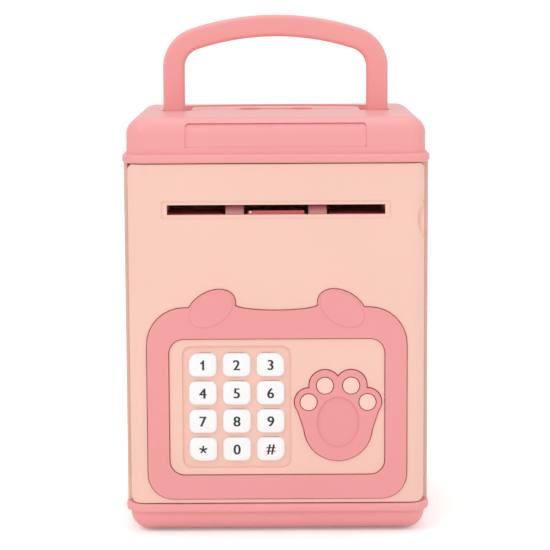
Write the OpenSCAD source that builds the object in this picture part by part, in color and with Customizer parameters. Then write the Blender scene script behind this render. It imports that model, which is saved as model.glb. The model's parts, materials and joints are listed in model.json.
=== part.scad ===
// Toy safe coin bank: a case with a hinged keypad door, a note feeder and a folding handle.
// Millimetres. +Z is up, the door faces -Y, and the origin is the middle of the underside.

/* [Case] */
// Width over the shell's side walls
case_w = 128.8; // [124:0.2:170]
// Depth of the shell's footprint, front to back
case_d = 118.8; // [104:0.2:160]
// Height of the shell between base and lid
shell_h = 145.8; // [142:0.2:190]
// Radius of the shell's upright corners
corner_r = 9.4; // [6:0.2:12]
// Thickness of the shell's walls
wall = 1.8; // [1.4:0.1:2.4]
// Thickness of the shell's ceiling
ceiling_t = 2.2; // [1.6:0.1:3]
// How far the beads of base and lid stand out past the shell
bead_out = 0.6; // [0.3:0.1:1.5]
// Height of each bead
bead_h = 3.7; // [2.5:0.1:5]
// Step in from a bead to the tub or the dome
bead_step = 1.85; // [1:0.05:2.5]
// Height of the base tub below its bead
tub_h = 8.7; // [8.4:0.1:14]
// Radius of the tub's lower edge
tub_roll = 8; // [3:0.5:8]
// Height of the lid's dome above its bead
dome_h = 15.3; // [14:0.1:22]
// Radius of the dome's upper edge
dome_roll = 7; // [3:0.5:8]
// Wall of the base and lid mouldings
mould = 2.2; // [1.6:0.1:2.8]
// Thickness of the floor plate and of the lid's liner
plate_t = 1.8; // [1.4:0.1:2.4]
// Gap round a plate that drops into a moulding
drop_gap = 0.3; // [0.2:0.05:0.5]
// Radius of a foot
foot_r = 4.5; // [3.5:0.1:6]
// How far a foot stands below the tub
foot_proud = 0.8; // [0.5:0.1:1.5]
// How deep a foot is let into the tub
foot_sunk = 1.2; // [0.8:0.1:1.4]
// Distance of the feet from the middle, side to side
foot_x = 39; // [30:1:48]
// Distance of the feet from the middle, front to back
foot_y = 38; // [30:1:44]

/* [Handle] */
// Width over the handle's legs
handle_w = 99.4; // [90:0.2:102]
// Height of the handle above its pivot
handle_h = 46; // [40:0.5:47]
// Width of the handle's bar
bar_w = 9.5; // [8:0.1:11]
// Thickness of the handle, front to back
handle_t = 7.6; // [6:0.1:8.4]
// Radius of the crown of the handle
crown_r = 120; // [90:1:200]
// Radius of the handle's outer corners
shoulder_r = 18; // [14:0.5:22]
// Depth of the pivot below the lid's top
pivot_drop = 4; // [3.6:0.1:5]
// Radius of the pivot pins
pivot_r = 1.5; // [1:0.1:2]
// Gap between the folded handle and its nest
nest_gap = 0.7; // [0.4:0.1:1.2]
// Extra width of the nest on the inner side of the legs
nest_ease = 2; // [0:0.5:3]

/* [Coin slot] */
// Length of the coin slot
coin_w = 29; // [26:0.5:31]
// Width of the coin slot
coin_d = 4.8; // [4.5:0.1:6]
// Distance of the coin slot behind the middle
coin_y = 11.5; // [8:0.5:16]
// Depth of the dish round the coin slot
dish_t = 1.6; // [0.8:0.1:2]
// Radius of the dish's four lobes
lobe_r = 5; // [4:0.1:6]
// Wall of the coin chute
chute_t = 1.7; // [1.2:0.1:2.5]
// Length of the coin chute below the lid's liner
chute_drop = 9; // [6:0.5:14]

/* [Door] */
// Step from the outside of the shell in to the door's edge
door_side = 1.7; // [1.5:0.1:2.4]
// Step from the front of the beads back to the door's face
door_set = 1.5; // [1.3:0.1:2.5]
// Gap above and below the door
door_gap = 0.4; // [0.3:0.1:1]
// Radius of the door's rolled upright edges
door_roll = 6.5; // [6:0.1:8]
// Thickness of the door's front plate
door_t = 2.4; // [2.2:0.1:3]
// Radius of the door's corners seen from the front
door_corner = 3; // [1:0.5:5]
// Depth from the door's face to the back of its rear cover
door_depth = 23.3; // [23:0.1:28]
// Thickness of the door's rear cover
cover_t = 1.8; // [1.4:0.1:2.4]
// Wall of the box behind the door's plate
rim_t = 1.8; // [1.4:0.1:1.8]
// Step from the door's top and bottom edges in to that box
rim_step = 3; // [2.6:0.1:5]
// Step from the hinge axis back to the front edges of the shell
shell_set = 2.5; // [2.2:0.1:4]
// Radius of the hinge pins
hinge_r = 1.5; // [1:0.1:2]
// Radius of the hinge knuckles and bosses
knuckle_r = 5.2; // [4.6:0.1:5.6]
// Length of each hinge knuckle
knuckle_h = 9.4; // [7:0.1:14]
// Height of the finger notch in the door's free edge
notch_h = 14.4; // [12:0.1:20]
// Depth of the finger notch
notch_d = 3.25; // [2.5:0.05:4]
// Running clearance of pins and shafts in their bores
run = 0.05; // [0.03:0.01:0.08]
// Clearance round a sliding or pressed piece
slip = 0.3; // [0.25:0.05:0.4]

/* [Face frame] */
// Width of the face frame
frame_w = 110; // [100:0.5:112]
// Height of the face frame without its ears
frame_h = 82.3; // [80:0.1:86]
// Height of the frame above the door's lower edge
frame_lift = 1.9; // [1:0.1:6]
// Radius of the frame's upper corners
frame_top_r = 15.8; // [8:0.2:20]
// Radius of the frame's lower corners
frame_low_r = 10.7; // [6:0.1:16]
// Width of the window
win_w = 91.9; // [90:0.1:93]
// Height of the window
win_h = 59; // [58:0.1:62]
// Radius of the window's corners
win_r = 6.4; // [3:0.1:8]
// Height of the frame's lower bar
sill_h = 10.15; // [8:0.05:13]
// How far the frame stands proud of the door
frame_proud = 0.9; // [0.5:0.1:1.1]
// How deep the frame is let into the door
frame_sunk = 1.4; // [0.8:0.1:1.6]
// Seam between the frame and the door
seam = 0.35; // [0.2:0.05:0.6]
// Half length of an ear
ear_a = 11.1; // [9:0.1:13]
// Half width of an ear
ear_b = 7.4; // [5:0.1:9]
// Tilt of an ear in degrees
ear_tilt = 31; // [10:1:45]
// Distance of an ear from the middle
ear_x = 27.7; // [20:0.1:32]
// Height of an ear's middle above the frame's lower edge
ear_z = 81.6; // [78:0.1:84]
// Hollow of the frame's upper edge between its ears
brow_dip = 2.4; // [0:0.1:4]
// Radius of the frame's pegs
peg_r = 1.2; // [0.8:0.1:1.6]

/* [Keypad] */
// Width of a key
key_w = 10.5; // [8:0.1:12]
// Height of a key
key_h = 9.7; // [7.5:0.1:10]
// Spacing of the key columns
key_px = 14.4; // [13.8:0.1:15]
// Spacing of the key rows
key_pz = 12.15; // [11.9:0.05:13]
// Radius of a key's corners
key_r = 2.6; // [1:0.1:3.4]
// Radius of the outer corner of the keypad's four corner keys
key_corner_r = 4.4; // [1:0.1:4.6]
// How far a key travels
key_travel = 1; // [0.5:0.1:1.2]
// How far a key stands proud of the door
key_proud = 0.8; // [0.2:0.1:1.2]
// Width that a key's flange adds on each side
key_lip_x = 1.2; // [0.8:0.1:1.4]
// Height that a key's flange adds above and below
key_lip_z = 0.75; // [0.6:0.05:0.8]
// Thickness of the flanges of keys and paw
lip_t = 1.2; // [0.8:0.1:1.4]
// Distance of the keypad's middle from the door's, to the left
pad_x = 17.1; // [16:0.1:18]
// Width of the keypad's recess
pad_w = 46.3; // [45:0.1:46.5]
// Height of the keypad's recess
pad_h = 52.7; // [50:0.1:54]
// Radius of the recess's corners
pad_r = 3.9; // [2:0.1:6]
// Depth of the recess
pad_sunk = 1.2; // [0.6:0.1:1.3]
// Thickness of the rubber keypad membrane
pad_t = 1.2; // [0.8:0.1:1.4]

/* [Paw button] */
// Distance of the paw from the middle, to the right
paw_x = 25.9; // [25:0.1:26.4]
// Distance of the paw's middle below the window's middle
paw_drop = 3.7; // [2:0.1:5]
// How far the paw stands proud of the door
paw_proud = 1; // [0.5:0.1:1.2]
// How far the paw travels
paw_travel = 0.8; // [0.5:0.1:1.2]
// Radius of the paw's lower half
palm_r = 14.4; // [12:0.1:15]
// Half width of the hollow in the palm
hollow_a = 9; // [7:0.1:10]
// Half height of the hollow in the palm
hollow_b = 11; // [9:0.1:12]
// Depth of that hollow
hollow_t = 0.8; // [0.4:0.1:1.2]
// Radius of a toe lens
toe_r = 3.5; // [2.8:0.1:3.8]
// Width that the paw's flange adds all round
paw_lip = 0.9; // [0.7:0.1:1]

/* [Note feeder] */
// Width of the note slot
slot_w = 91.8; // [70:0.2:92]
// Height of the note slot
slot_h = 4.2; // [4.2:0.1:5]
// Distance from the door's top to the slot's middle
slot_drop = 19.3; // [18:0.1:24]
// Width that the slot's sunk surround adds on each side
surround_x = 2.4; // [1:0.1:4]
// Height that the surround adds above and below
surround_z = 1.7; // [1:0.1:3]
// Depth of the surround
surround_t = 0.5; // [0.3:0.1:0.8]
// Thickness of the two note guides
guide_t = 1.1; // [0.8:0.1:1.4]
// Radius of the feed rollers
roller_r = 6.6; // [5:0.1:7.2]
// Width of a feed roller
roller_w = 7.8; // [5:0.1:9]
// Distance of each feed roller from the middle
roller_x = 17.5; // [15:0.1:30]
// Gap between the slot's upper edge and the rollers' top
roller_low = 0.6; // [0.3:0.1:1.5]
// Radius of the feed rollers' shaft
shaft_r = 1.5; // [1:0.1:1.8]
// Radius of the pinch rollers
pinch_r = 3.2; // [2.4:0.1:3.8]
// Radius of the pinch rollers' shaft
pinch_shaft_r = 1; // [0.8:0.1:1.2]
// Gap between the two pairs of rollers
nip = 0.3; // [0.2:0.05:0.5]
// Thickness of the feeder's side cheeks
cheek_t = 2; // [1.5:0.1:2.4]
// Radius of the feed motor's can
motor_r = 10; // [9:0.5:10]
// Thickness of the feed motor across its flats
motor_flat = 15; // [12:0.5:15]
// Length of the feed motor
motor_l = 25; // [18:0.5:27]
// Radius of both motors' shafts
arbor_r = 1; // [0.8:0.1:1.2]

/* [Gears] */
// Tooth module of all the gears
gear_m = 0.6; // [0.5:0.01:0.62]
// Teeth on the roller gear
roller_teeth = 20; // [16:1:20]
// Teeth on the idler gear
idler_teeth = 26; // [20:1:26]
// Teeth on both motor pinions
pinion_teeth = 10; // [10:1:12]
// Face width of the gears
gear_t = 2; // [1.5:0.1:2.2]
// Free play of the teeth at the pitch circle
backlash = 0.16; // [0.1:0.01:0.2]
// Extra distance between meshing centres
mesh_gap = 0.05; // [0:0.01:0.1]

/* [Lock] */
// Distance from the note slot down to the latch bolt
latch_drop = 32.3; // [30:0.1:36]
// Height of the latch bolt
bolt_h = 6; // [4:0.1:8]
// Thickness of the latch bolt behind its teeth
bolt_t = 2.7; // [2:0.1:3]
// Length of the latch bolt
bolt_l = 32; // [30:0.5:33]
// How far the latch bolt travels
bolt_travel = 4; // [3:0.1:4.4]
// Thickness of the strike
strike_t = 3.8; // [3.4:0.1:5]
// Width of the lock motor
lock_w = 12; // [9:0.5:12]
// Depth of the lock motor
lock_d = 10; // [8:0.5:10]
// Height of the lock motor
lock_h = 16; // [12:0.5:16]

/* [Electrics] */
// Depth from the door's face to the circuit board
board_set = 7; // [6.9:0.1:8]
// Thickness of the circuit board
board_t = 1.6; // [1:0.1:2]
// Radius of a battery
cell_r = 7; // [5:0.1:7.2]
// Length of a battery
cell_l = 50; // [44:0.5:52]
// Number of batteries
cells = 3; // [2:1:3]
// Room for a contact at each end of a battery
contact_gap = 3.4; // [2.5:0.1:4]
// Wall of the battery box
box_t = 1.6; // [1.2:0.1:2]
// Radius of the speaker
speaker_r = 13; // [9:0.5:14]
// Thickness of the speaker
speaker_t = 5.5; // [3:0.1:6]

/* [Screws] */
// Radius of the case screws
screw_r = 1.45; // [1.2:0.05:1.6]
// Radius of the case screws' heads
head_r = 2.7; // [2.2:0.1:3]
// Height of the case screws' heads
head_h = 2; // [1.2:0.1:2.2]
// Radius of the small screws
tiny_r = 0.9; // [0.7:0.05:1]
// Radius of the small screws' heads
tiny_head_r = 1.9; // [1.5:0.1:2.1]
// Height of the small screws' heads
tiny_head_h = 1.1; // [0.8:0.1:1.4]

/* [Hidden] */
$fn = 40;
KEY_NAMES = ["1", "2", "3", "4", "5", "6", "7", "8", "9", "star", "0", "hash"];

pink = [0.93, 0.64, 0.65];
peach = [0.96, 0.80, 0.73];
white = [0.97, 0.97, 0.96];
steel = [0.72, 0.73, 0.75];
dark = [0.20, 0.20, 0.22];
board_green = [0.10, 0.42, 0.24];

// Levels of the case
z_tub = foot_proud;
z_bead = z_tub + tub_h;
z_shell = z_bead + bead_h;
z_lid = z_shell + shell_h;
z_dome = z_lid + bead_h;
z_top = z_dome + dome_h;

// Plan sizes of the case
bead_w = case_w + 2 * bead_out;
bead_d = case_d + 2 * bead_out;
tub_w = bead_w - 2 * bead_step;
tub_d = bead_d - 2 * bead_step;
tub_r = corner_r + bead_out - bead_step;
in_w = tub_w - 2 * mould;
in_d = tub_d - 2 * mould;
in_r = tub_r - mould;
shell_in = case_w / 2 - wall;

// Door and hinge
door_hw = case_w / 2 - door_side;
y_face = -bead_d / 2 + door_set;
y_plate = y_face + door_t;
y_cover = y_face + door_depth;
y_rim = y_cover - cover_t;
hinge_x = -door_hw + door_roll;
hinge_y = y_face + door_roll;
y_shell = hinge_y + shell_set;
z_door = z_shell + door_gap;
z_door_top = z_lid - door_gap;
z_rim = z_door + rim_step;
z_rim_top = z_door_top - rim_step;
x_strike = shell_in - strike_t;
swing_room = 0.5;
x_rim_left = hinge_x + 2.2;
x_rim = hinge_x + sqrt(pow(x_strike - hinge_x - swing_room, 2) - pow(y_cover - hinge_y, 2));
hinge_pin_out = 5;

// Screw places
base_screw_x = shell_in - 8.6;
base_screw_y = [y_cover + 6, case_d / 2 - 11.4];
lid_screw_x = in_w / 2 - 4.8;
lid_screw_y = [y_cover + 7, case_d / 2 - 9.4];
well_h = 5.2;
boss_r = 3.6;
post_h = 10.8;

// Handle
pivot_z = z_top - pivot_drop;
nest_z = pivot_z - handle_t / 2 - 0.4;
nest_wall = 1.8;
nest_front = handle_t / 2 + 0.6;

// Face frame, keypad and paw
z_frame = z_door + frame_lift;
win_z = z_frame + sill_h + win_h / 2;
y_frame = y_face - frame_proud;
frame_back = y_face + frame_sunk;
y_board = y_face + board_set;
y_lip = y_plate + slip;
paw_z = win_z - paw_drop;
toes = [[-12.5, 5.8], [-5.55, 12.9], [5.55, 12.9], [12.5, 5.8]];
toe_pads = [5.9, 6.65, 6.65, 5.9];
palm_z = -2.9;
pad_x1 = -pad_x + pad_w / 2;
board_x = [-win_w / 2 + 2, win_w / 2];
board_z = [win_z - win_h / 2 - 1, win_z + win_h / 2 + 1];
board_post = 2.8;
peg_x = frame_w / 2 - 4.5;

// Note feeder
slot_z = z_door_top - slot_drop;
slot_low = slot_z - slot_h / 2;
slot_high = slot_z + slot_h / 2;
roller_z = slot_high - roller_low - roller_r;
roller_y = y_plate + 0.5 + max(roller_r, pitch_r(roller_teeth) + tooth_top(gear_m));
pinch_z = roller_z + roller_r + nip + pinch_r;
cheek_x = slot_w / 2 + 1.1;
cheek_top = pinch_z + pinch_shaft_r + 2.2;
guide_end = y_rim - 0.1;
lip_x = 11.8;
lip_h = 1.5;
gear_x1 = -cheek_x - cheek_t - 0.7;
gear_x0 = gear_x1 - gear_t;
idler_y = roller_y + 2.5;
idler_z = roller_z - sqrt(pow(centres(roller_teeth, idler_teeth), 2) - pow(idler_y - roller_y, 2));
motor_z = idler_z - centres(idler_teeth, pinion_teeth);
axle_r = 1.2;
roller_phase = mesh_phase(atan2(roller_z - idler_z, roller_y - idler_y), 0, idler_teeth, roller_teeth);
pinion_phase = mesh_phase(-90, 0, idler_teeth, pinion_teeth);

// Lock
latch_z = slot_z - latch_drop;
bolt_y = y_rim - 3;
bolt_tip = x_rim - 0.2;
bolt_y0 = bolt_y - bolt_t;
rack_y = bolt_y0 - tooth_low(gear_m);
lock_x = bolt_tip - 13;
lock_y = rack_y - pitch_r(pinion_teeth) - mesh_gap;
lock_z = latch_z - bolt_h / 2;
rack_pitch = PI * gear_m;

// Battery box, on the back of the door's rear cover
cell_pitch = 2 * cell_r + 1.3;
box_z = win_z + 4;
box_hw = cell_l / 2 + contact_gap + box_t;
box_hh = cells * cell_pitch / 2 + box_t;
y_box = y_cover + box_t + 2 * cell_r + 1.2;
tab_h = 7;
tab_z = box_z + box_hh + tab_h / 2;
speaker_x = 8;
speaker_z = latch_z;

// ---- functions ----

// Points of an arc about c from angle a to angle b
function arc(c, r, a, b, n = 8) =
    [for (i = [0:n]) let (t = a + (b - a) * i / n) [c[0] + r * cos(t), c[1] + r * sin(t)]];

// Rectangle about the origin with its four corner radii, from the upper right one anticlockwise
function rounded(w, h, r, n = 8) =
    [for (q = [0:3])
        let (c = r[q], x = (q == 0 || q == 3 ? 1 : -1) * (w / 2 - c), y = (q < 2 ? 1 : -1) * (h / 2 - c))
        each (c > 0 ? arc([x, y], c, 90 * q, 90 * q + 90, n) : [[x, y]])];

function even(r) = [r, r, r, r];

// Oval with half axes a and b, turned by an angle
function oval(a, b, turn = 0, n = 40) =
    [for (i = [0:n - 1]) let (t = 360 * i / n)
        [a * cos(t) * cos(turn) - b * sin(t) * sin(turn), a * cos(t) * sin(turn) + b * sin(t) * cos(turn)]];

// Outline of the handle's arch above its pivot, moved inwards by in
function arch(in) =
    let (hw = handle_w / 2, lean = asin((hw - shoulder_r) / (crown_r - shoulder_r)),
         cz = handle_h - crown_r + (crown_r - shoulder_r) * cos(lean), cx = hw - shoulder_r)
    concat([[hw - in, 0]],
           arc([cx, cz], shoulder_r - in, 0, 90 - lean, 8),
           arc([0, handle_h - crown_r], crown_r - in, 90 - lean, 90 + lean, 10),
           arc([-cx, cz], shoulder_r - in, 90 + lean, 180, 8),
           [[-hw + in, 0]]);

// Gears
pressure = 25;
function pitch_r(n) = gear_m * n / 2;
function centres(na, nb) = pitch_r(na) + pitch_r(nb) + mesh_gap;
function tooth_top(m) = 0.8 * m;
function tooth_low(m) = 1.05 * m;
function inv(a) = tan(a) * 180 / PI - a;
function tooth_half(r, n) =
    let (rp = pitch_r(n), base = rp * cos(pressure))
    90 / n - backlash / 4 / rp * 180 / PI + inv(pressure) - inv(acos(min(1, base / r)));
function gear_points(n, steps = 4) =
    let (low = pitch_r(n) - tooth_low(gear_m), top = pitch_r(n) + tooth_top(gear_m))
    [for (k = [0:n - 1], s = [-1, 1], i = [0:steps])
        let (j = s < 0 ? i : steps - i, r = low + (top - low) * j / steps, a = 360 * k / n + s * tooth_half(r, n))
        [r * cos(a), r * sin(a)]];

// Angle of a tooth of gear b that meshes with gear a, when b lies in direction dir from a
function mesh_phase(dir, phase_a, na, nb) = dir + 180 - (phase_a - dir) * na / nb + 180 / nb;

// ---- helpers ----

module block(x, y, z) {
    translate([x[0], y[0], z[0]]) cube([x[1] - x[0], y[1] - y[0], z[1] - z[0]]);
}
module xbar(y, z, x0, x1, r) { translate([x0, y, z]) rotate([0, 90, 0]) cylinder(h = x1 - x0, r = r); }
module ybar(x, z, y0, y1, r) { translate([x, y1, z]) rotate([90, 0, 0]) cylinder(h = y1 - y0, r = r); }
module zbar(x, y, z0, z1, r) { translate([x, y, z0]) cylinder(h = z1 - z0, r = r); }

// A shape drawn as seen from the front, from y0 to y1
module front(y0, y1) { translate([0, y1, 0]) rotate([90, 0, 0]) linear_extrude(y1 - y0) children(); }
// A shape drawn in the Y-Z plane, from x0 to x1
module side(x0, x1) { translate([x0, 0, 0]) rotate([90, 0, 90]) linear_extrude(x1 - x0) children(); }
// A plate with rounded upright corners
module plate(w, d, r, z0, z1) {
    translate([0, 0, z0]) linear_extrude(z1 - z0) polygon(rounded(w, d, even(r)));
}
// A plate with a rolled edge at its top (up = 1) or its bottom (up = -1)
module rolled(w, d, r, z0, z1, roll, up) {
    corners = up > 0 ? [roll, roll, 0, 0] : [0, 0, roll, roll];
    intersection() {
        plate(w, d, r, z0, z1);
        front(-d, d) translate([0, (z0 + z1) / 2]) polygon(rounded(w, z1 - z0, corners));
        side(-w, w) translate([0, (z0 + z1) / 2]) polygon(rounded(d, z1 - z0, corners));
    }
}
module four(x, y) { for (sx = [-1, 1], py = y) translate([sx * x, py, 0]) children(); }

// ---- case ----

module body_shell() {
    post_x = base_screw_x;
    color(peach) difference() {
        union() {
            difference() {
                plate(case_w, case_d, corner_r, z_shell, z_lid);
                plate(case_w - 2 * wall, case_d - 2 * wall, corner_r - wall, z_shell - 1, z_lid - ceiling_t);
            }
            for (s = [-1, 1], y = base_screw_y) {
                zbar(s * post_x, y, z_shell, z_shell + post_h, boss_r);
                block(s > 0 ? [post_x, shell_in + wall / 2] : [-shell_in - wall / 2, -post_x],
                      [y - 1.2, y + 1.2], [z_shell, z_shell + post_h]);
            }
        }
        block([-case_w, case_w], [-case_d, y_shell], [z_shell - 1, z_lid + 1]);
        four(post_x, base_screw_y) zbar(0, 0, z_shell - 1, z_shell + post_h - 1.4, screw_r);
        four(lid_screw_x, lid_screw_y) zbar(0, 0, z_lid - ceiling_t - 1, z_lid + 1, screw_r + 0.15);
        chute_hole(slip);
        zbar(hinge_x, hinge_y, z_lid - ceiling_t - 1, z_lid + 1, door_roll + 2 * slip);
    }
}

module base_tray() {
    color(pink) difference() {
        union() {
            difference() {
                union() {
                    rolled(tub_w, tub_d, tub_r, z_tub, z_bead + 0.5, tub_roll, -1);
                    plate(bead_w, bead_d, corner_r + bead_out, z_bead, z_shell);
                }
                rolled(in_w, in_d, in_r, z_tub + mould, z_shell + 1, tub_roll - mould, -1);
            }
            four(base_screw_x, base_screw_y) zbar(0, 0, z_tub + 1, z_shell - plate_t, head_r + 2.1);
            intersection() {
                zbar(hinge_x, hinge_y, z_tub + 1, z_shell, knuckle_r);
                plate(bead_w - bead_step, bead_d - bead_step, tub_r, z_tub, z_shell);
            }
            four(foot_x, [-foot_y, foot_y]) zbar(0, 0, z_tub + 0.5, z_tub + foot_sunk + mould, foot_r + 1.5);
        }
        four(base_screw_x, base_screw_y) {
            zbar(0, 0, z_tub - 1, z_tub + well_h + head_h, head_r + 0.5);
            zbar(0, 0, z_tub, z_shell, screw_r + 0.15);
        }
        four(foot_x, [-foot_y, foot_y]) zbar(0, 0, z_tub - 1, z_tub + foot_sunk, foot_r);
        zbar(hinge_x, hinge_y, z_shell - hinge_pin_out, z_shell + 1, hinge_r);
    }
}

module floor_plate() {
    color(peach) difference() {
        plate(in_w - 2 * drop_gap, in_d - 2 * drop_gap, in_r, z_shell - plate_t, z_shell);
        four(base_screw_x, base_screw_y) zbar(0, 0, z_shell - plate_t - 1, z_shell + 1, screw_r + 0.15);
        zbar(hinge_x, hinge_y, z_shell - plate_t - 1, z_shell + 1, knuckle_r + drop_gap);
    }
}

module rubber_feet() {
    color(dark) four(foot_x, [-foot_y, foot_y]) zbar(0, 0, 0, z_tub + foot_sunk, foot_r - 0.02);
}

module base_screws() {
    seat = z_tub + well_h + head_h;
    color(steel) four(base_screw_x, base_screw_y) {
        zbar(0, 0, seat - head_h, seat, head_r);
        zbar(0, 0, seat - 0.5, z_shell + post_h - 2, screw_r);
    }
}

// The folded handle's room, its arch laid flat with the nest's gaps, grown by a wall
module nest(grow, z0, z1) {
    outer = -nest_gap - grow;
    inner = bar_w + nest_gap + nest_ease + grow;
    back = nest_front + grow;
    translate([0, 0, z0]) linear_extrude(z1 - z0) difference() {
        polygon(concat(arch(outer), [[-handle_w / 2 + outer, -back], [handle_w / 2 - outer, -back]]));
        polygon(concat(arch(inner), [[-handle_w / 2 + inner, -back - 1], [handle_w / 2 - inner, -back - 1]]));
    }
}

// The dish round the coin slot: a bone with a wing on each side
module dish(grow, z0, z1) {
    wing_x = handle_w / 2 - bar_w - nest_gap - nest_ease - 3;
    x = coin_w / 2 - 3;
    translate([0, coin_y, z0]) linear_extrude(z1 - z0) {
        for (sx = [-1, 1], sy = [-1, 1]) translate([sx * x, sy * lobe_r * 0.85]) circle(r = lobe_r + grow);
        square([2 * x + lobe_r, 2 * lobe_r + 2 * grow], center = true);
        for (s = [-1, 1])
            polygon([[s * x, -3 - grow], [s * (wing_x + grow), -0.8 - grow], [s * (wing_x + grow), 0.8 + grow],
                     [s * x, 3 + grow]]);
    }
}

module chute_hole(gap) {
    block([-coin_w / 2 - 0.5 - chute_t - gap, coin_w / 2 + 0.5 + chute_t + gap],
          [coin_y - coin_d / 2 - 0.5 - chute_t - gap, coin_y + coin_d / 2 + 0.5 + chute_t + gap],
          [z_lid - ceiling_t - 1, z_lid + plate_t + 1]);
}

module lid_cover() {
    panel_w = 76.2;
    panel_z = [z_dome + 2.7, z_top - 2.4];
    color(pink) difference() {
        union() {
            difference() {
                union() {
                    plate(bead_w, bead_d, corner_r + bead_out, z_lid, z_dome);
                    rolled(tub_w, tub_d, tub_r, z_dome - 0.5, z_top, dome_roll, 1);
                }
                rolled(in_w, in_d, in_r, z_lid - 1, z_top - mould, dome_roll - mould, 1);
            }
            nest(nest_wall, nest_z - nest_wall, z_top - mould / 2);
            dish(nest_wall, z_top - dish_t - nest_wall, z_top - mould / 2);
            four(lid_screw_x, lid_screw_y) zbar(0, 0, z_lid + plate_t, z_top - mould / 2, boss_r);
            intersection() {
                zbar(hinge_x, hinge_y, z_lid, z_dome + hinge_pin_out, knuckle_r);
                plate(bead_w - bead_step, bead_d - bead_step, tub_r, z_lid, z_top);
            }
        }
        nest(0, nest_z, z_top + 1);
        dish(0, z_top - dish_t, z_top + 1);
        block([-coin_w / 2, coin_w / 2], [coin_y - coin_d / 2, coin_y + coin_d / 2], [z_dome, z_top]);
        block([-panel_w / 2, panel_w / 2], [-tub_d, -tub_d / 2 + 0.5], panel_z);
        for (s = [-1, 1]) handle_pin(s, pivot_r);
        four(lid_screw_x, lid_screw_y) zbar(0, 0, z_lid, z_top - mould - 2, screw_r);
        zbar(hinge_x, hinge_y, z_lid - 1, z_lid + hinge_pin_out, hinge_r);
    }
}

module lid_liner() {
    color(pink) difference() {
        plate(in_w - 2 * drop_gap, in_d - 2 * drop_gap, in_r, z_lid, z_lid + plate_t);
        four(lid_screw_x, lid_screw_y) zbar(0, 0, z_lid - 1, z_lid + plate_t + 1, screw_r + 0.15);
        zbar(hinge_x, hinge_y, z_lid - 1, z_lid + plate_t + 1, knuckle_r + drop_gap);
        chute_hole(slip);
    }
}

module coin_chute() {
    x = coin_w / 2 + 0.5;
    y = coin_d / 2 + 0.5;
    top = z_top - dish_t - nest_wall - 0.2;
    low = z_lid - ceiling_t - chute_drop;
    shelf = z_lid + plate_t;
    color(white) difference() {
        union() {
            block([-x - chute_t, x + chute_t], [coin_y - y - chute_t, coin_y + y + chute_t], [low, top]);
            block([-x - 5, x + 5], [coin_y - y - 4, coin_y + y + 4], [shelf, shelf + 1.2]);
        }
        block([-x, x], [coin_y - y, coin_y + y], [low - 1, top + 1]);
    }
}

module lid_screws() {
    seat = z_lid - ceiling_t;
    color(steel) four(lid_screw_x, lid_screw_y) {
        zbar(0, 0, seat - head_h, seat, head_r);
        zbar(0, 0, seat - 0.5, z_top - mould - 3, screw_r);
    }
}

module strike_plate() {
    color(steel) difference() {
        block([x_strike, shell_in], [bolt_y0 - 3.3, bolt_y + 6], [latch_z - bolt_h / 2 - 4, latch_z + bolt_h / 2 + 4]);
        block([x_strike - 1, shell_in + 1], [bolt_y0 - 0.5, bolt_y + 0.5],
              [latch_z - bolt_h / 2 - 0.5, latch_z + bolt_h / 2 + 0.5]);
    }
}

module hinge_pins() {
    reach = knuckle_h - 1.4;
    color(steel) {
        zbar(hinge_x, hinge_y, z_shell - hinge_pin_out, z_door + reach, hinge_r);
        zbar(hinge_x, hinge_y, z_door_top - reach, z_lid + hinge_pin_out, hinge_r);
    }
}

// A pivot pin, through both walls of the nest and the leg between them
module handle_pin(s, r) {
    x0 = handle_w / 2 - bar_w - nest_gap - nest_ease - nest_wall;
    x1 = handle_w / 2 + nest_gap + nest_wall;
    xbar(0, pivot_z, s > 0 ? x0 : -x1, s > 0 ? x1 : -x0, r);
}
module handle_pins() { color(steel) for (s = [-1, 1]) handle_pin(s, pivot_r); }

module handle() {
    leg = handle_w / 2 - bar_w / 2;
    color(pink) difference() {
        union() {
            translate([0, 0, pivot_z]) front(-handle_t / 2, handle_t / 2) difference() {
                polygon(arch(0));
                polygon(concat(arch(bar_w), [[-handle_w / 2 + bar_w, -1], [handle_w / 2 - bar_w, -1]]));
            }
            for (s = [-1, 1])
                xbar(0, pivot_z, s * leg - bar_w / 2, s * leg + bar_w / 2, handle_t / 2 - 0.02);
        }
        for (s = [-1, 1]) xbar(0, pivot_z, s * leg - bar_w, s * leg + bar_w, pivot_r + run);
    }
}

// ---- door ----

function paw_parts() = [for (i = [0:3]) [toes[i][0], toes[i][1], toe_pads[i]]];

// Outline of the paw, grown by an even margin
module paw_shape(grow) {
    translate([paw_x, paw_z]) {
        for (p = paw_parts()) translate([p[0], p[1]]) circle(r = p[2] + grow);
        translate([0, palm_z - 2.2]) circle(r = palm_r + grow);
        polygon([[-17.7 - grow, 4], [-14.1 - grow, -7], [14.1 + grow, -7], [17.7 + grow, 4], [5.5, 12], [-5.5, 12]]);
    }
}

// Outline of the face frame, grown by an even margin
module frame_shape(grow) {
    w = frame_w / 2 + grow;
    brow = 1.2;
    difference() {
        union() {
            translate([0, z_frame + frame_h / 2])
                polygon(rounded(frame_w + 2 * grow, frame_h + 2 * grow,
                                [frame_top_r + grow, frame_top_r + grow, frame_low_r + grow, frame_low_r + grow]));
            translate([-ear_x + 8, z_frame + frame_h - 1]) square([2 * ear_x - 16, brow + 1 + grow]);
            for (s = [-1, 1])
                translate([s * ear_x, z_frame + ear_z]) polygon(oval(ear_a + grow, ear_b + grow, -s * ear_tilt));
        }
        translate([0, z_frame + frame_h + brow + grow])
            polygon(oval(ear_x - 10 - grow, brow_dip));
    }
}
module window_shape(grow) {
    translate([0, win_z]) polygon(rounded(win_w + 2 * grow, win_h + 2 * grow, even(win_r + grow)));
}

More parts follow.
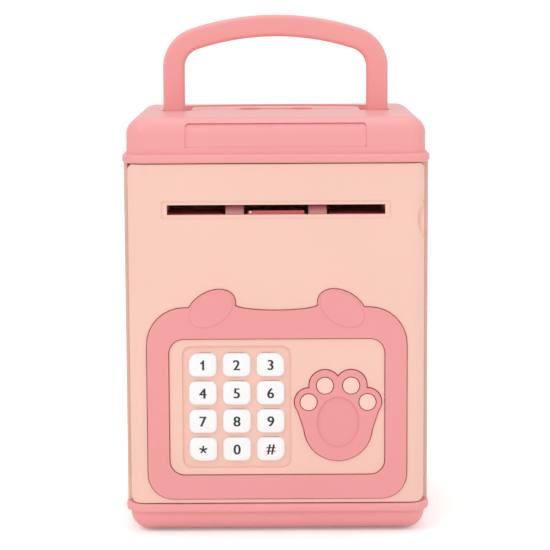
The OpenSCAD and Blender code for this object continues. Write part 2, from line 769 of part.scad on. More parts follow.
// Middle of a key, and its four corner radii
function key_place(i) = [-pad_x + ((i % 3) - 1) * key_px, win_z + (1.5 - floor(i / 3)) * key_pz];
function key_radii(i) = [i == 2 ? key_corner_r : key_r, i == 0 ? key_corner_r : key_r,
                         i == 9 ? key_corner_r : key_r, i == 11 ? key_corner_r : key_r];
module key_shape(i, gx, gz) {
    translate(key_place(i)) polygon(rounded(key_w + 2 * gx, key_h + 2 * gz, key_radii(i), 5));
}

module door_panel() {
    scoop_r = (pow(notch_h / 2, 2) + notch_d * notch_d) / (2 * notch_d);
    cover_x = [x_rim_left + 4.4, x_rim - 4.4];
    cover_z = [z_rim + 4.4, z_rim_top - 4.4];
    color(peach) difference() {
        union() {
            // plate with rolled upright edges
            intersection() {
                translate([0, 0, z_door]) linear_extrude(z_door_top - z_door) difference() {
                    polygon(concat([[door_hw, hinge_y]],
                                   arc([-hinge_x, hinge_y], door_roll, 0, -90),
                                   arc([hinge_x, hinge_y], door_roll, -90, -180)));
                    polygon(concat([[door_hw - door_t, hinge_y + 1]],
                                   arc([-hinge_x, hinge_y], door_roll - door_t, 0, -90),
                                   arc([hinge_x, hinge_y], door_roll - door_t, -90, -180),
                                   [[-door_hw + door_t, hinge_y + 1]]));
                }
                front(y_face - 1, hinge_y + 1) translate([0, (z_door + z_door_top) / 2])
                    polygon(rounded(2 * door_hw, z_door_top - z_door, even(door_corner)));
            }
            // box behind the plate
            difference() {
                block([x_rim_left, x_rim], [y_plate - 0.5, y_rim], [z_rim, z_rim_top]);
                block([x_rim_left + rim_t, x_rim - rim_t], [y_plate - 1, y_rim + 1], [z_rim + rim_t, z_rim_top - rim_t]);
            }
            // hinge knuckles
            for (z = [z_door, z_door_top - knuckle_h]) zbar(hinge_x, hinge_y, z, z + knuckle_h, knuckle_r);
            // backing of the finger notch
            block([x_rim - 0.5, door_hw - door_t / 2], [y_plate - 0.5, hinge_y],
                  [slot_z - 4.4 - notch_h / 2 - 2, slot_z - 4.4 + notch_h / 2 + 2]);
            // bosses for the rear cover and posts for the board
            for (x = cover_x, z = cover_z) ybar(x, z, y_plate - 0.5, y_rim, 3);
            for (x = [board_x[0] + 3, board_x[1] - 1.6], z = [board_z[0] + 1.6, board_z[1] - 1.6])
                ybar(x, z, y_plate - 0.5, y_board, board_post - 0.6);
        }
        // finger notch
        ybar(door_hw + scoop_r - notch_d, slot_z - 4.4, y_face - 1, hinge_y + 1, scoop_r);
        // note slot with its sunk surround
        block([-slot_w / 2, slot_w / 2], [y_face - 1, y_plate + 1], [slot_low, slot_high]);
        front(y_face - 1, y_face + surround_t) translate([0, slot_z])
            polygon(rounded(slot_w + 2 * surround_x, slot_h + 2 * surround_z, even(1)));
        // groove for the face frame
        front(y_face - 1, frame_back) difference() { frame_shape(seam); window_shape(-seam); }
        for (s = [-1, 1], z = [win_z - 18, win_z + 18]) ybar(s * peg_x, z, y_face, y_plate + 1, peg_r);
        // keypad recess and key holes
        front(y_face - 1, y_face + pad_sunk) translate([-pad_x, win_z]) polygon(rounded(pad_w, pad_h, even(pad_r)));
        front(y_face - 1, y_plate + 1) for (i = [0:11]) key_shape(i, slip, slip);
        // paw hole
        front(y_face - 1, y_plate + 1) paw_shape(slip + 0.05);
        // hinge bores, latch hole and screw bores
        zbar(hinge_x, hinge_y, z_door - 1, z_door + knuckle_h - 1.2, hinge_r + run);
        zbar(hinge_x, hinge_y, z_door_top - knuckle_h + 1.2, z_door_top + 1, hinge_r + run);
        block([x_rim - rim_t - 1, x_rim + 1], [bolt_y0 - slip, bolt_y + slip],
              [latch_z - bolt_h / 2 - slip, latch_z + bolt_h / 2 + slip]);
        for (x = cover_x, z = cover_z) ybar(x, z, y_rim - 12, y_rim + 1, tiny_r);
        for (x = [board_x[0] + 3, board_x[1] - 1.6], z = [board_z[0] + 1.6, board_z[1] - 1.6])
            ybar(x, z, y_plate + 0.8, y_board + 1, tiny_r);
    }
}

module face_frame() {
    color(pink) {
        front(y_frame, frame_back) difference() { frame_shape(0); window_shape(0); }
        for (s = [-1, 1], z = [win_z - 18, win_z + 18]) ybar(s * peg_x, z, frame_back - 0.5, y_plate + 0.8, peg_r);
        for (s = [-1, 1]) front(y_frame - 0.4, y_frame + 0.5)
            translate([s * ear_x, z_frame + ear_z]) polygon(oval(ear_a - 1, ear_b - 1, -s * ear_tilt));
    }
}

module door_back_cover() {
    cover_x = [x_rim_left + 4.4, x_rim - 4.4];
    cover_z = [z_rim + 4.4, z_rim_top - 4.4];
    color(peach) difference() {
        block([x_rim_left, x_rim], [y_rim, y_cover], [z_rim, z_rim_top]);
        block([-slot_w / 2, slot_w / 2], [y_rim - 1, y_cover + 1], [slot_low, slot_high]);
        for (x = cover_x, z = cover_z) ybar(x, z, y_rim - 1, y_cover + 1, tiny_r + 0.15);
        for (a = [0:60:300], r = [5]) ybar(speaker_x + r * cos(a), speaker_z + r * sin(a), y_rim - 1, y_cover + 1, 1);
        ybar(speaker_x, speaker_z, y_rim - 1, y_cover + 1, 1);
    }
}

module cover_screws() {
    for (x = [x_rim_left + 4.4, x_rim - 4.4], z = [z_rim + 4.4, z_rim_top - 4.4]) color(steel) {
        ybar(x, z, y_cover, y_cover + tiny_head_h, tiny_head_r);
        ybar(x, z, y_rim - 9, y_cover + 0.4, tiny_r);
    }
}

// ---- electrics ----

module board_holes(y0, y1, r) {
    for (x = [board_x[0] + 3, board_x[1] - 1.6], z = [board_z[0] + 1.6, board_z[1] - 1.6]) ybar(x, z, y0, y1, r);
}

module main_board() {
    color(board_green) difference() {
        union() {
            block(board_x, [y_board, y_board + board_t], board_z);
            block([-24, -12], [y_board, y_board + board_t + 1.6], [win_z - 6, win_z + 6]);
            block([6, 13], [y_board, y_board + board_t + 4], [board_z[1] - 12, board_z[1] - 7]);
            for (x = [-34, 34]) ybar(x, win_z - 12, y_board, y_board + board_t + 6, 2.6);
        }
        board_holes(y_board - 1, y_board + board_t + 1, tiny_r + 0.15);
    }
}

module board_screws() {
    color(steel) {
        board_holes(y_board + board_t, y_board + board_t + tiny_head_h, tiny_head_r);
        board_holes(y_plate + 1.6, y_board + board_t + 0.4, tiny_r);
    }
}

module keypad_membrane() {
    color(white) block([-pad_x - pad_w / 2 + 1, pad_x1 - 1], [y_board - pad_t, y_board],
                       [win_z - pad_h / 2 + 1, win_z + pad_h / 2 - 1]);
}

module paw_switch() {
    color(dark) block([paw_x - 2.2, paw_x + 2.2], [y_board - 1.3, y_board], [paw_z + palm_z - 2.2, paw_z + palm_z + 2.2]);
}

module indicator_leds() {
    color(white) for (t = toes)
        block([paw_x + t[0] - 1.3, paw_x + t[0] + 1.3], [y_board - 1.2, y_board],
              [paw_z + t[1] - 1.3, paw_z + t[1] + 1.3]);
}

module toe_lenses() {
    color(peach) for (t = toes) difference() {
        ybar(paw_x + t[0], paw_z + t[1], y_face - paw_proud - 0.1, y_board, toe_r);
        ybar(paw_x + t[0], paw_z + t[1], y_board - 1.6, y_board + 1, 2.3);
    }
}

module speaker() {
    color(dark) difference() {
        union() {
            ybar(speaker_x, speaker_z, y_rim - 2, y_rim, speaker_r);
            ybar(speaker_x, speaker_z, y_rim - speaker_t, y_rim - 1, speaker_r * 0.55);
        }
        ybar(speaker_x, speaker_z, y_rim - 0.8, y_rim + 1, speaker_r - 2);
    }
}

module battery_box() {
    color(peach) difference() {
        union() {
            block([-box_hw, box_hw], [y_cover, y_box], [box_z - box_hh, box_z + box_hh]);
            block([-5, 5], [y_cover, y_box], [box_z + box_hh - 0.5, box_z + box_hh + tab_h]);
        }
        block([-box_hw + box_t, box_hw - box_t], [y_cover + box_t, y_box + 1],
              [box_z - box_hh + box_t, box_z + box_hh - box_t]);
        ybar(0, tab_z, y_box - 9, y_box + 1, tiny_r);
    }
}

module battery_cover() {
    color(peach) difference() {
        union() {
            block([-box_hw, box_hw], [y_box, y_box + 1.6], [box_z - box_hh, box_z + box_hh]);
            block([-5, 5], [y_box, y_box + 1.6], [box_z + box_hh - 0.5, box_z + box_hh + tab_h]);
        }
        ybar(0, tab_z, y_box - 1, y_box + 3, tiny_r + 0.15);
    }
}

module battery_screw() {
    color(steel) {
        ybar(0, tab_z, y_box + 1.6, y_box + 1.6 + tiny_head_h, tiny_head_r);
        ybar(0, tab_z, y_box - 7, y_box + 2, tiny_r);
    }
}

function cell_z(i) = box_z + (i - (cells - 1) / 2) * cell_pitch;
cell_y = y_cover + box_t + cell_r + 0.3;

module batteries() {
    color(steel) for (i = [0:cells - 1]) {
        s = i % 2 == 0 ? 1 : -1;
        xbar(cell_y, cell_z(i), -cell_l / 2, cell_l / 2, cell_r);
        xbar(cell_y, cell_z(i), s > 0 ? cell_l / 2 - 1 : -cell_l / 2 - 1, s > 0 ? cell_l / 2 + 1 : -cell_l / 2 + 1, 2.6);
    }
}

// A flat plate at each nipple and a stepped spring at each flat end
module battery_contacts() {
    x = box_hw - box_t;
    color(steel) for (i = [0:cells - 1], s = [-1, 1]) {
        plus = (i % 2 == 0 ? 1 : -1) == s;
        block(s > 0 ? [x - 0.4, x] : [-x, -x + 0.4], [cell_y - 4, cell_y + 4], [cell_z(i) - 4, cell_z(i) + 4]);
        reach = plus ? 1.1 : 0.1;
        xbar(cell_y, cell_z(i), s > 0 ? cell_l / 2 + reach : -x + 0.3, s > 0 ? x - 0.3 : -cell_l / 2 - reach, 3);
    }
}

// ---- note feeder ----

module roller_cuts(y, z, r, shaft) {
    for (s = [-1, 1]) xbar(y, z, s * roller_x - roller_w / 2 - 1, s * roller_x + roller_w / 2 + 1, r + 0.6);
    xbar(y, z, -cheek_x, cheek_x, shaft + 0.4);
}

module note_guide_lower() {
    arm = [idler_y - 7, idler_y + 7];
    color(dark) difference() {
        union() {
            block([-cheek_x - 0.1, cheek_x + 0.1], [y_plate, guide_end], [slot_low - guide_t, slot_low]);
            block([-lip_x, lip_x], [y_plate, y_plate + 1.2], [slot_low - 0.5, slot_low + lip_h]);
            for (s = [-1, 1])
                block(s > 0 ? [cheek_x, cheek_x + cheek_t] : [-cheek_x - cheek_t, -cheek_x],
                      [y_plate, guide_end], [roller_z - 5, cheek_top]);
            block([-cheek_x - cheek_t, -cheek_x], arm, [motor_z - motor_r, roller_z]);
            xbar(idler_y, idler_z, gear_x0, -cheek_x - 1, axle_r);
        }
        roller_cuts(roller_y, roller_z, roller_r, shaft_r);
        xbar(roller_y, roller_z, -cheek_x - 5, cheek_x + 5, shaft_r + run);
        xbar(roller_y, pinch_z, -cheek_x - 5, cheek_x + 5, pinch_shaft_r + run);
        xbar(idler_y, motor_z, -cheek_x - 5, -cheek_x + 1, arbor_r + 0.4);
        sensor_bar(0);
    }
}

module note_guide_upper() {
    color(dark) difference() {
        block([-cheek_x, cheek_x], [y_plate, guide_end], [slot_high, slot_high + guide_t]);
        roller_cuts(roller_y, pinch_z, pinch_r, pinch_shaft_r);
    }
}

module sensor_bar(out) { ybar(-lip_x + 1, slot_low + lip_h - 0.6, y_plate - out, y_plate + 0.8, 0.45); }
module note_sensor() { color(white) sensor_bar(0.4); }

module feed_motor() {
    color(steel) difference() {
        intersection() {
            xbar(idler_y, motor_z, -cheek_x, -cheek_x + motor_l, motor_r);
            block([-case_w, case_w], [idler_y - motor_flat / 2, idler_y + motor_flat / 2], [0, z_lid]);
        }
        xbar(idler_y, motor_z, -cheek_x - 1, -cheek_x + 6, arbor_r + run);
    }
}

module roller_shaft() { color(steel) xbar(roller_y, roller_z, gear_x0, cheek_x + cheek_t + 1, shaft_r); }

module feed_rollers() {
    color(pink) for (s = [-1, 1]) difference() {
        xbar(roller_y, roller_z, s * roller_x - roller_w / 2, s * roller_x + roller_w / 2, roller_r);
        xbar(roller_y, roller_z, s * roller_x - roller_w, s * roller_x + roller_w, shaft_r);
    }
}

module gear(y, z, n, phase, bore) {
    side(gear_x0, gear_x1) translate([y, z]) difference() {
        rotate(phase) polygon(gear_points(n));
        circle(r = bore);
    }
}
module roller_gear() { color(white) gear(roller_y, roller_z, roller_teeth, roller_phase, shaft_r); }
module idler_gear() { color(white) gear(idler_y, idler_z, idler_teeth, 0, axle_r + run); }
module feed_pinion() {
    color(steel) union() {
        side(gear_x0, gear_x1) translate([idler_y, motor_z]) rotate(pinion_phase) polygon(gear_points(pinion_teeth));
        xbar(idler_y, motor_z, gear_x0 + 0.5, -cheek_x + 5, arbor_r);
    }
}

module pinch_shaft() { color(steel) xbar(roller_y, pinch_z, -cheek_x - cheek_t, cheek_x + cheek_t, pinch_shaft_r); }
module pinch_rollers() {
    color(dark) for (s = [-1, 1]) difference() {
        xbar(roller_y, pinch_z, s * roller_x - roller_w / 2, s * roller_x + roller_w / 2, pinch_r);
        xbar(roller_y, pinch_z, s * roller_x - roller_w, s * roller_x + roller_w, pinch_shaft_r);
    }
}

// ---- lock ----

// A straight bar with rack teeth on its front face, drawn from above
module latch_bolt() {
    half_root = rack_pitch / 4 - backlash / 4 + tooth_low(gear_m) * tan(pressure);
    half_tip = rack_pitch / 4 - backlash / 4 - tooth_top(gear_m) * tan(pressure);
    color(steel) translate([0, 0, latch_z - bolt_h / 2]) linear_extrude(bolt_h) union() {
        translate([bolt_tip - bolt_l, bolt_y0]) square([bolt_l, bolt_t]);
        for (k = [-4:2])
            translate([lock_x + k * rack_pitch, rack_y])
                polygon([[-half_root, tooth_low(gear_m) + 0.2], [-half_root, tooth_low(gear_m)],
                         [-half_tip, -tooth_top(gear_m)], [half_tip, -tooth_top(gear_m)],
                         [half_root, tooth_low(gear_m)], [half_root, tooth_low(gear_m) + 0.2]]);
    }
}

module lock_pinion() {
    color(white) {
        translate([lock_x, lock_y, lock_z + 0.5]) linear_extrude(bolt_h - 1)
            rotate(90 + 180 / pinion_teeth) polygon(gear_points(pinion_teeth));
        zbar(lock_x, lock_y, lock_z - 5, lock_z + bolt_h - 0.5, arbor_r);
    }
}

module lock_motor() {
    color(steel) difference() {
        block([lock_x - lock_w / 2, lock_x + lock_w / 2], [lock_y - lock_d / 2, lock_y + lock_d / 2],
              [lock_z - 0.4 - lock_h, lock_z - 0.4]);
        zbar(lock_x, lock_y, lock_z - 6, lock_z + 1, arbor_r + run);
    }
}

// Two guides that carry the bolt, on the inside of the rear cover
module latch_guide() {
    gap = 0.2;
    color(dark) difference() {
        for (x = [bolt_tip - bolt_l + bolt_travel + 1, bolt_tip - 3.9])
            block([x, x + 1.9], [bolt_y0 - 2, y_rim], [latch_z - bolt_h / 2 - 2, latch_z + bolt_h / 2 + 2]);
        block([-case_w, case_w], [bolt_y0 - gap, bolt_y + gap],
              [latch_z - bolt_h / 2 - gap, latch_z + bolt_h / 2 + gap]);
    }
}

// ---- keys and paw ----

module key(i) {
    color(white) {
        front(y_face - key_proud, y_lip + 0.4) key_shape(i, 0, 0);
        front(y_lip, y_lip + lip_t) key_shape(i, key_lip_x, key_lip_z);
    }
}

module paw_button() {
    toe_hole = toe_r + 0.3;
    color(pink) difference() {
        union() {
            front(y_face - paw_proud, y_lip + 0.4) paw_shape(0);
            front(y_lip, y_lip + lip_t) paw_shape(paw_lip);
        }
        front(y_face - paw_proud - 1, y_face - paw_proud + hollow_t)
            translate([paw_x, paw_z + palm_z]) polygon(oval(hollow_a, hollow_b));
        for (t = toes) ybar(paw_x + t[0], paw_z + t[1], y_face - 5, y_board, toe_hole);
    }
}

// Return spring of the paw, a round wire wound between the paw's flange and the board
module paw_spring() {
    wire = 0.25;
    coil = 4;
    turns = 3;
    per = 14;
    sides = 8;
    y0 = y_lip + lip_t + wire;
    y1 = y_board - wire;
    n = turns * per;
    ring = [for (i = [0:n], j = [0:sides - 1])
        let (a = 360 * i / per, b = 360 * j / sides, r = coil + wire * cos(b))
        [paw_x + r * cos(a), y0 + (y1 - y0) * i / n + wire * sin(b), paw_z + palm_z + r * sin(a)]];
    walls = [for (i = [0:n - 1], j = [0:sides - 1]) let (k = (j + 1) % sides)
        [i * sides + j, (i + 1) * sides + j, (i + 1) * sides + k, i * sides + k]];
    color(steel) polyhedron(ring, concat([[for (j = [0:sides - 1]) j]], walls,
                                         [[for (j = [sides - 1:-1:0]) n * sides + j]]), convexity = 6);
}

body_shell();
base_tray();
floor_plate();
rubber_feet();
base_screws();
lid_cover();
lid_liner();
coin_chute();
lid_screws();
strike_plate();
hinge_pins();
handle_pins();
handle();
door_panel();
face_frame();
door_back_cover();
cover_screws();
main_board();
board_screws();
keypad_membrane();
paw_switch();
indicator_leds();
toe_lenses();
speaker();
battery_box();
battery_cover();
battery_screw();
batteries();
battery_contacts();
note_guide_lower();
note_guide_upper();
note_sensor();
feed_motor();
lock_motor();
latch_guide();
roller_shaft();
feed_rollers();
roller_gear();
idler_gear();
feed_pinion();
pinch_shaft();
pinch_rollers();
latch_bolt();
lock_pinion();
paw_button();
paw_spring();
for (i = [0:11]) key(i);
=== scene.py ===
import json
import math

import bmesh
import bpy
from mathutils import Matrix, Vector


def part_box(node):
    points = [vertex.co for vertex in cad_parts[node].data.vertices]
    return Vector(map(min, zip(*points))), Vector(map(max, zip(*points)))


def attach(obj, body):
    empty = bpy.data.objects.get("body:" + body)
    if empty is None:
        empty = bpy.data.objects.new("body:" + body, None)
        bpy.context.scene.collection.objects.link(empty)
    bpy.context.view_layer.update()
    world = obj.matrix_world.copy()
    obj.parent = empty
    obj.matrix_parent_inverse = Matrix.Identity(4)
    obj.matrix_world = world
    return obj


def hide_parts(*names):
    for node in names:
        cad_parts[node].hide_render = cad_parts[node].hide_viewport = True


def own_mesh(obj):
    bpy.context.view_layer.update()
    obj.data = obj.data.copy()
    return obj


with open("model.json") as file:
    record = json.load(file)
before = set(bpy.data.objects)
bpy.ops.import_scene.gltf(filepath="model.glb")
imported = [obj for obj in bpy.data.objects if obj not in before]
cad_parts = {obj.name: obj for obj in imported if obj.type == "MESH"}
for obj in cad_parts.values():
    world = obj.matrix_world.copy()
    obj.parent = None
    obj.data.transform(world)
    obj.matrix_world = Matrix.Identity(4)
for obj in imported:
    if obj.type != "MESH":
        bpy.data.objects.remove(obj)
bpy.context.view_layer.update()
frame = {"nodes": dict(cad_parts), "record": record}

bl_info = {
    "name": "Toy safe coin bank",
    "version": (1, 0, 0),
    "blender": (4, 5, 0),
    "location": "3D View > Sidebar > Toy safe",
    "description": "Finishes a toy safe with a keypad door, a note feeder and a folding handle",
    "category": "Add Mesh",
}

MM = 0.001
WELD = 2e-6  # CAD corners closer than this are one corner
SHY = 0.00003  # how far a rounded form stays inside the CAD piece's own box
STROKE = 0.00016  # how far each copy is moved to widen a figure's strokes
FIGURE_SUNK, FIGURE_PROUD = 0.00008, 0.00004  # how far a drawn figure reaches into its key, and stands out of it
FEET_EDGE, PAW_EDGE, INNER_EDGE = 0.0005, 0.00022, 0.00025  # rounding of the feet, the paw and the inside pieces
KEY_FACES = ["1", "2", "3", "4", "5", "6", "7", "8", "9", "*", "0", "#"]
KEY_NODES = ["key_" + k for k in ["1", "2", "3", "4", "5", "6", "7", "8", "9", "star", "0", "hash"]]
CORNER_KEYS = (2, 0, 9, 11)  # the keys at the keypad's corners, in the order that outline() takes its radii
BODY_OF = {n: b for b, ns in frame["record"]["behaviour"]["bodies"].items() for n in ns}
SLOT_OF = {s["node"]: s["material_slot"] for s in frame["record"]["subparts"]}


def linear(r, g, b):
    """A colour given in 0-255 screen values, as the linear values that a shader takes."""
    def channel(v):
        v /= 255
        return v / 12.92 if v <= 0.04045 else ((v + 0.055) / 1.055) ** 2.4
    return (channel(r), channel(g), channel(b), 1.0)


def length(name, text, value):
    """A size that the panel shows; the value is in millimetres."""
    return bpy.props.FloatProperty(name=name, description=text, default=value * MM, min=0.0, unit="LENGTH")


def tint(name, text, rgb):
    """A colour that the panel shows, given in 0-255 screen values."""
    return bpy.props.FloatVectorProperty(
        name=name, description=text, subtype="COLOR", size=4, min=0.0, max=1.0, default=linear(*rgb))


class ToySafeSizes(bpy.types.PropertyGroup):
    bead_round: length("Bead rounding", "Radius on the edges of the beads round the lid and the base", 1.25)
    bead_step: length("Bead step", "How far the beads stand out from the lid and the base", 1.85)
    bead_corner: length("Bead corner", "Corner radius of the beads, seen from above", 10.0)
    bead_tall: length("Bead height", "Height of each bead", 3.7)
    dome_roll: length("Lid roll", "Radius of the lid's rolled upper edge", 7.0)
    tub_roll: length("Base roll", "Radius of the base's rolled lower edge", 8.0)
    soft_edge: length("Soft edge", "Rounding of the small moulded edges", 0.24)
    bezel_edge: length("Bezel edge", "Rounding of the edges of the keypad's frame", 0.19)
    bar_edge: length("Handle edge", "Rounding of the handle's four long edges", 1.9)
    bar_width: length("Handle bar", "Width of the handle's bar seen from the front", 9.5)
    shoulder: length("Handle shoulder", "Outer radius of the handle's two shoulders", 18.0)
    crown: length("Handle crown", "Outer radius of the handle's gently arched top", 120.0)
    key_edge: length("Key edge", "Rounding of the front edge of each key", 0.85)
    figure_tall: length("Figure height", "Height of the figures on the keys", 4.3)


class ToySafeColours(bpy.types.PropertyGroup):
    pink: tint("Pink", "Lid, base and handle", (244, 164, 163))
    bezel: tint("Bezel pink", "Frame round the keypad", (242, 158, 160))
    peach: tint("Peach", "Door and walls", (248, 204, 188))
    paw: tint("Paw", "Paw button", (241, 156, 157))
    toes: tint("Toes", "Lenses in the paw's toes", (252, 208, 194))
    keys: tint("Keys", "Caps of the keys", (250, 250, 250))
    figures: tint("Figures", "Figures on the keys", (40, 40, 46))
    inner: tint("Inner plastic", "Guides inside the note slot", (206, 96, 98))


def sizes():
    return bpy.context.scene.toy_safe_sizes


def colours():
    return bpy.context.scene.toy_safe_colours


# Shared surface effects

def socket(group, name, kind, way, value=None):
    """A named input or output of a node group."""
    s = group.interface.new_socket(name=name, in_out=way, socket_type=kind)
    if value is not None:
        s.default_value = value
    return s


def moulded_skin():
    """Fine mould texture, a slight drift of the colour, and a little dust on what faces up."""
    g = bpy.data.node_groups.get("moulded_skin")
    if g:
        return g
    g = bpy.data.node_groups.new("moulded_skin", "ShaderNodeTree")
    for name, kind, value in [
            ("Colour", "NodeSocketColor", (0.8, 0.8, 0.8, 1)), ("Drift", "NodeSocketFloat", 0.05),
            ("Roughness", "NodeSocketFloat", 0.4), ("Grain Scale", "NodeSocketFloat", 2500.0),
            ("Grain Depth", "NodeSocketFloat", 0.1), ("Dust", "NodeSocketFloat", 0.05)]:
        socket(g, name, kind, "INPUT", value)
    socket(g, "Colour", "NodeSocketColor", "OUTPUT")
    socket(g, "Roughness", "NodeSocketFloat", "OUTPUT")
    socket(g, "Normal", "NodeSocketVector", "OUTPUT")
    n, link = g.nodes, g.links.new
    given, out = n.new("NodeGroupInput"), n.new("NodeGroupOutput")
    place = n.new("ShaderNodeTexCoord")
    broad = n.new("ShaderNodeTexNoise")
    broad.inputs["Scale"].default_value = 22.0
    broad.inputs["Detail"].default_value = 3.0
    fine = n.new("ShaderNodeTexNoise")
    fine.inputs["Detail"].default_value = 2.0
    link(place.outputs["Object"], broad.inputs["Vector"])
    link(place.outputs["Object"], fine.inputs["Vector"])
    link(given.outputs["Grain Scale"], fine.inputs["Scale"])
    darker = n.new("ShaderNodeMix")
    darker.data_type, darker.blend_type = "RGBA", "MULTIPLY"
    ramp = n.new("ShaderNodeMapRange")
    ramp.inputs["From Min"].default_value, ramp.inputs["From Max"].default_value = 0.35, 0.65
    link(broad.outputs["Fac"], ramp.inputs["Value"])
    share = n.new("ShaderNodeMath")
    share.operation = "MULTIPLY"
    link(ramp.outputs["Result"], share.inputs[0])
    link(given.outputs["Drift"], share.inputs[1])
    link(share.outputs[0], darker.inputs["Factor"])
    link(given.outputs["Colour"], darker.inputs["A"])
    darker.inputs["B"].default_value = (0.86, 0.80, 0.80, 1)
    up = n.new("ShaderNodeNewGeometry")
    split = n.new("ShaderNodeSeparateXYZ")
    link(up.outputs["Normal"], split.inputs[0])
    lies = n.new("ShaderNodeMath")
    lies.operation, lies.use_clamp = "MULTIPLY", True
    link(split.outputs["Z"], lies.inputs[0])
    link(given.outputs["Dust"], lies.inputs[1])
    patch = n.new("ShaderNodeMath")
    patch.operation = "MULTIPLY"
    link(lies.outputs[0], patch.inputs[0])
    link(broad.outputs["Fac"], patch.inputs[1])
    dusty = n.new("ShaderNodeMix")
    dusty.data_type = "RGBA"
    link(patch.outputs[0], dusty.inputs["Factor"])
    link(darker.outputs["Result"], dusty.inputs["A"])
    dusty.inputs["B"].default_value = (0.83, 0.80, 0.78, 1)
    link(dusty.outputs["Result"], out.inputs["Colour"])
    uneven = n.new("ShaderNodeMath")
    uneven.operation = "MULTIPLY_ADD"
    link(broad.outputs["Fac"], uneven.inputs[0])
    uneven.inputs[1].default_value = 0.10
    link(given.outputs["Roughness"], uneven.inputs[2])
    link(uneven.outputs[0], out.inputs["Roughness"])
    bump = n.new("ShaderNodeBump")
    bump.inputs["Distance"].default_value = 0.00005
    link(given.outputs["Grain Depth"], bump.inputs["Strength"])
    link(fine.outputs["Fac"], bump.inputs["Height"])
    link(bump.outputs["Normal"], out.inputs["Normal"])
    return g


def moulded(name, colour, rough, drift=0.12, grain=0.25, scale=1800.0, dust=0.12, metal=0.0, coat=0.0):
    """A material on the shared moulded skin."""
    m = bpy.data.materials.get(name)
    if m:
        return m
    m = bpy.data.materials.new(name)
    m.use_nodes = True
    shader = m.node_tree.nodes["Principled BSDF"]
    skin = m.node_tree.nodes.new("ShaderNodeGroup")
    skin.node_tree = moulded_skin()
    for key, value in [("Colour", tuple(colour)), ("Drift", drift), ("Roughness", rough - 0.05),
                       ("Grain Scale", scale), ("Grain Depth", grain), ("Dust", dust)]:
        skin.inputs[key].default_value = value
    link = m.node_tree.links.new
    link(skin.outputs["Colour"], shader.inputs["Base Color"])
    link(skin.outputs["Roughness"], shader.inputs["Roughness"])
    link(skin.outputs["Normal"], shader.inputs["Normal"])
    shader.inputs["Metallic"].default_value = metal
    shader.inputs["IOR"].default_value = 1.48
    shader.inputs["Coat Weight"].default_value = coat
    m.diffuse_color = tuple(colour)
    return m


def finish_for(slot):
    """The material for each of the record's slots."""
    c = colours()
    made = {
        "pink_shell": lambda: moulded("pink_abs", c.pink, 0.36),
        "peach_shell": lambda: moulded("peach_abs", c.peach, 0.40),
        "pink_bezel": lambda: moulded("bezel_abs", c.bezel, 0.34),
        "paw_pink": lambda: moulded("paw_abs", c.paw, 0.34),
        "key_white": lambda: moulded("key_caps", c.keys, 0.30, drift=0.03, grain=0.08, dust=0.03),
        "lens": lambda: moulded("toe_lens", c.toes, 0.22, drift=0.03, grain=0.05, dust=0.02, coat=0.3),
        "roller_rubber": lambda: moulded(
            "roller_rubber", linear(240, 138, 140), 0.62, drift=0.2, grain=0.9, scale=2600.0),
        "foot_rubber": lambda: moulded(
            "foot_rubber", linear(206, 196, 192), 0.75, drift=0.25, grain=0.9, scale=2600.0),
        "inner_plastic": lambda: moulded("guide_abs", c.inner, 0.48),
        "white_plastic": lambda: moulded("white_abs", linear(236, 234, 230), 0.42),
        "steel": lambda: moulded(
            "bright_steel", linear(196, 198, 202), 0.30, drift=0.25, grain=0.2, scale=900.0, dust=0.02, metal=1.0),
        "board": lambda: moulded("circuit_board", linear(32, 96, 58), 0.36, drift=0.3, grain=0.15),
        "silicone": lambda: moulded("keypad_silicone", linear(212, 212, 208), 0.58),
        "cell": lambda: moulded("cell_sleeve", linear(54, 60, 72), 0.28, coat=0.4),
    }
    return made[slot]()


# Shapes

def new_object(name, mesh):
    """An object in the scene with this data."""
    o = bpy.data.objects.new(name, mesh)
    bpy.context.scene.collection.objects.link(o)
    return o


def smooth(mesh, degrees):
    """Smooth shading, with edges sharper than this many degrees kept sharp."""
    mesh.shade_smooth()
    mesh.set_sharp_from_angle(angle=math.radians(degrees))


def baked(o):
    """Turns the object's modifiers into its plain mesh."""
    bpy.context.view_layer.update()
    graph = bpy.context.evaluated_depsgraph_get()
    mesh = bpy.data.meshes.new_from_object(
        o.evaluated_get(graph), preserve_all_data_layers=True, depsgraph=graph)
    o.modifiers.clear()
    o.data = mesh
    if not len(mesh.polygons):
        raise RuntimeError(o.name + " came out empty")
    return o


def outline(half_w, half_h, radii, steps):
    """A rounded rectangle as points, anticlockwise from the right; radii from the upper right, anticlockwise."""
    corners = [(1, 1, 0), (-1, 1, 90), (-1, -1, 180), (1, -1, 270)]
    points = []
    for (sx, sy, start), r in zip(corners, radii):
        cx, cy = sx * (half_w - r), sy * (half_h - r)
        for i in range(steps + 1):
            a = math.radians(start + 90 * i / steps)
            points.append((cx + r * math.cos(a), cy + r * math.sin(a)))
    return points


def loft(name, rings):
    """A closed skin over rings of as many points each, with a flat face on both ends."""
    count = len(rings[0])
    verts = [p for ring in rings for p in ring]
    faces = [list(range(count))[::-1], [len(verts) - count + i for i in range(count)]]
    for k in range(len(rings) - 1):
        for i in range(count):
            j = (i + 1) % count
            faces.append([k * count + i, k * count + j, (k + 1) * count + j, (k + 1) * count + i])
    mesh = bpy.data.meshes.new(name)
    mesh.from_pydata([tuple(v) for v in verts], [], faces)
    bm = bmesh.new()
    bm.from_mesh(mesh)
    bmesh.ops.remove_doubles(bm, verts=bm.verts, dist=1e-7)
    bmesh.ops.recalc_face_normals(bm, faces=bm.faces)
    bm.to_mesh(mesh)
    bm.free()
    return mesh


def quarter(r, start, end, steps):
    """Points of an arc of radius r from one angle to the other, in degrees."""
    return [(r * math.cos(math.radians(start + (end - start) * i / steps)),
             r * math.sin(math.radians(start + (end - start) * i / steps))) for i in range(steps + 1)]


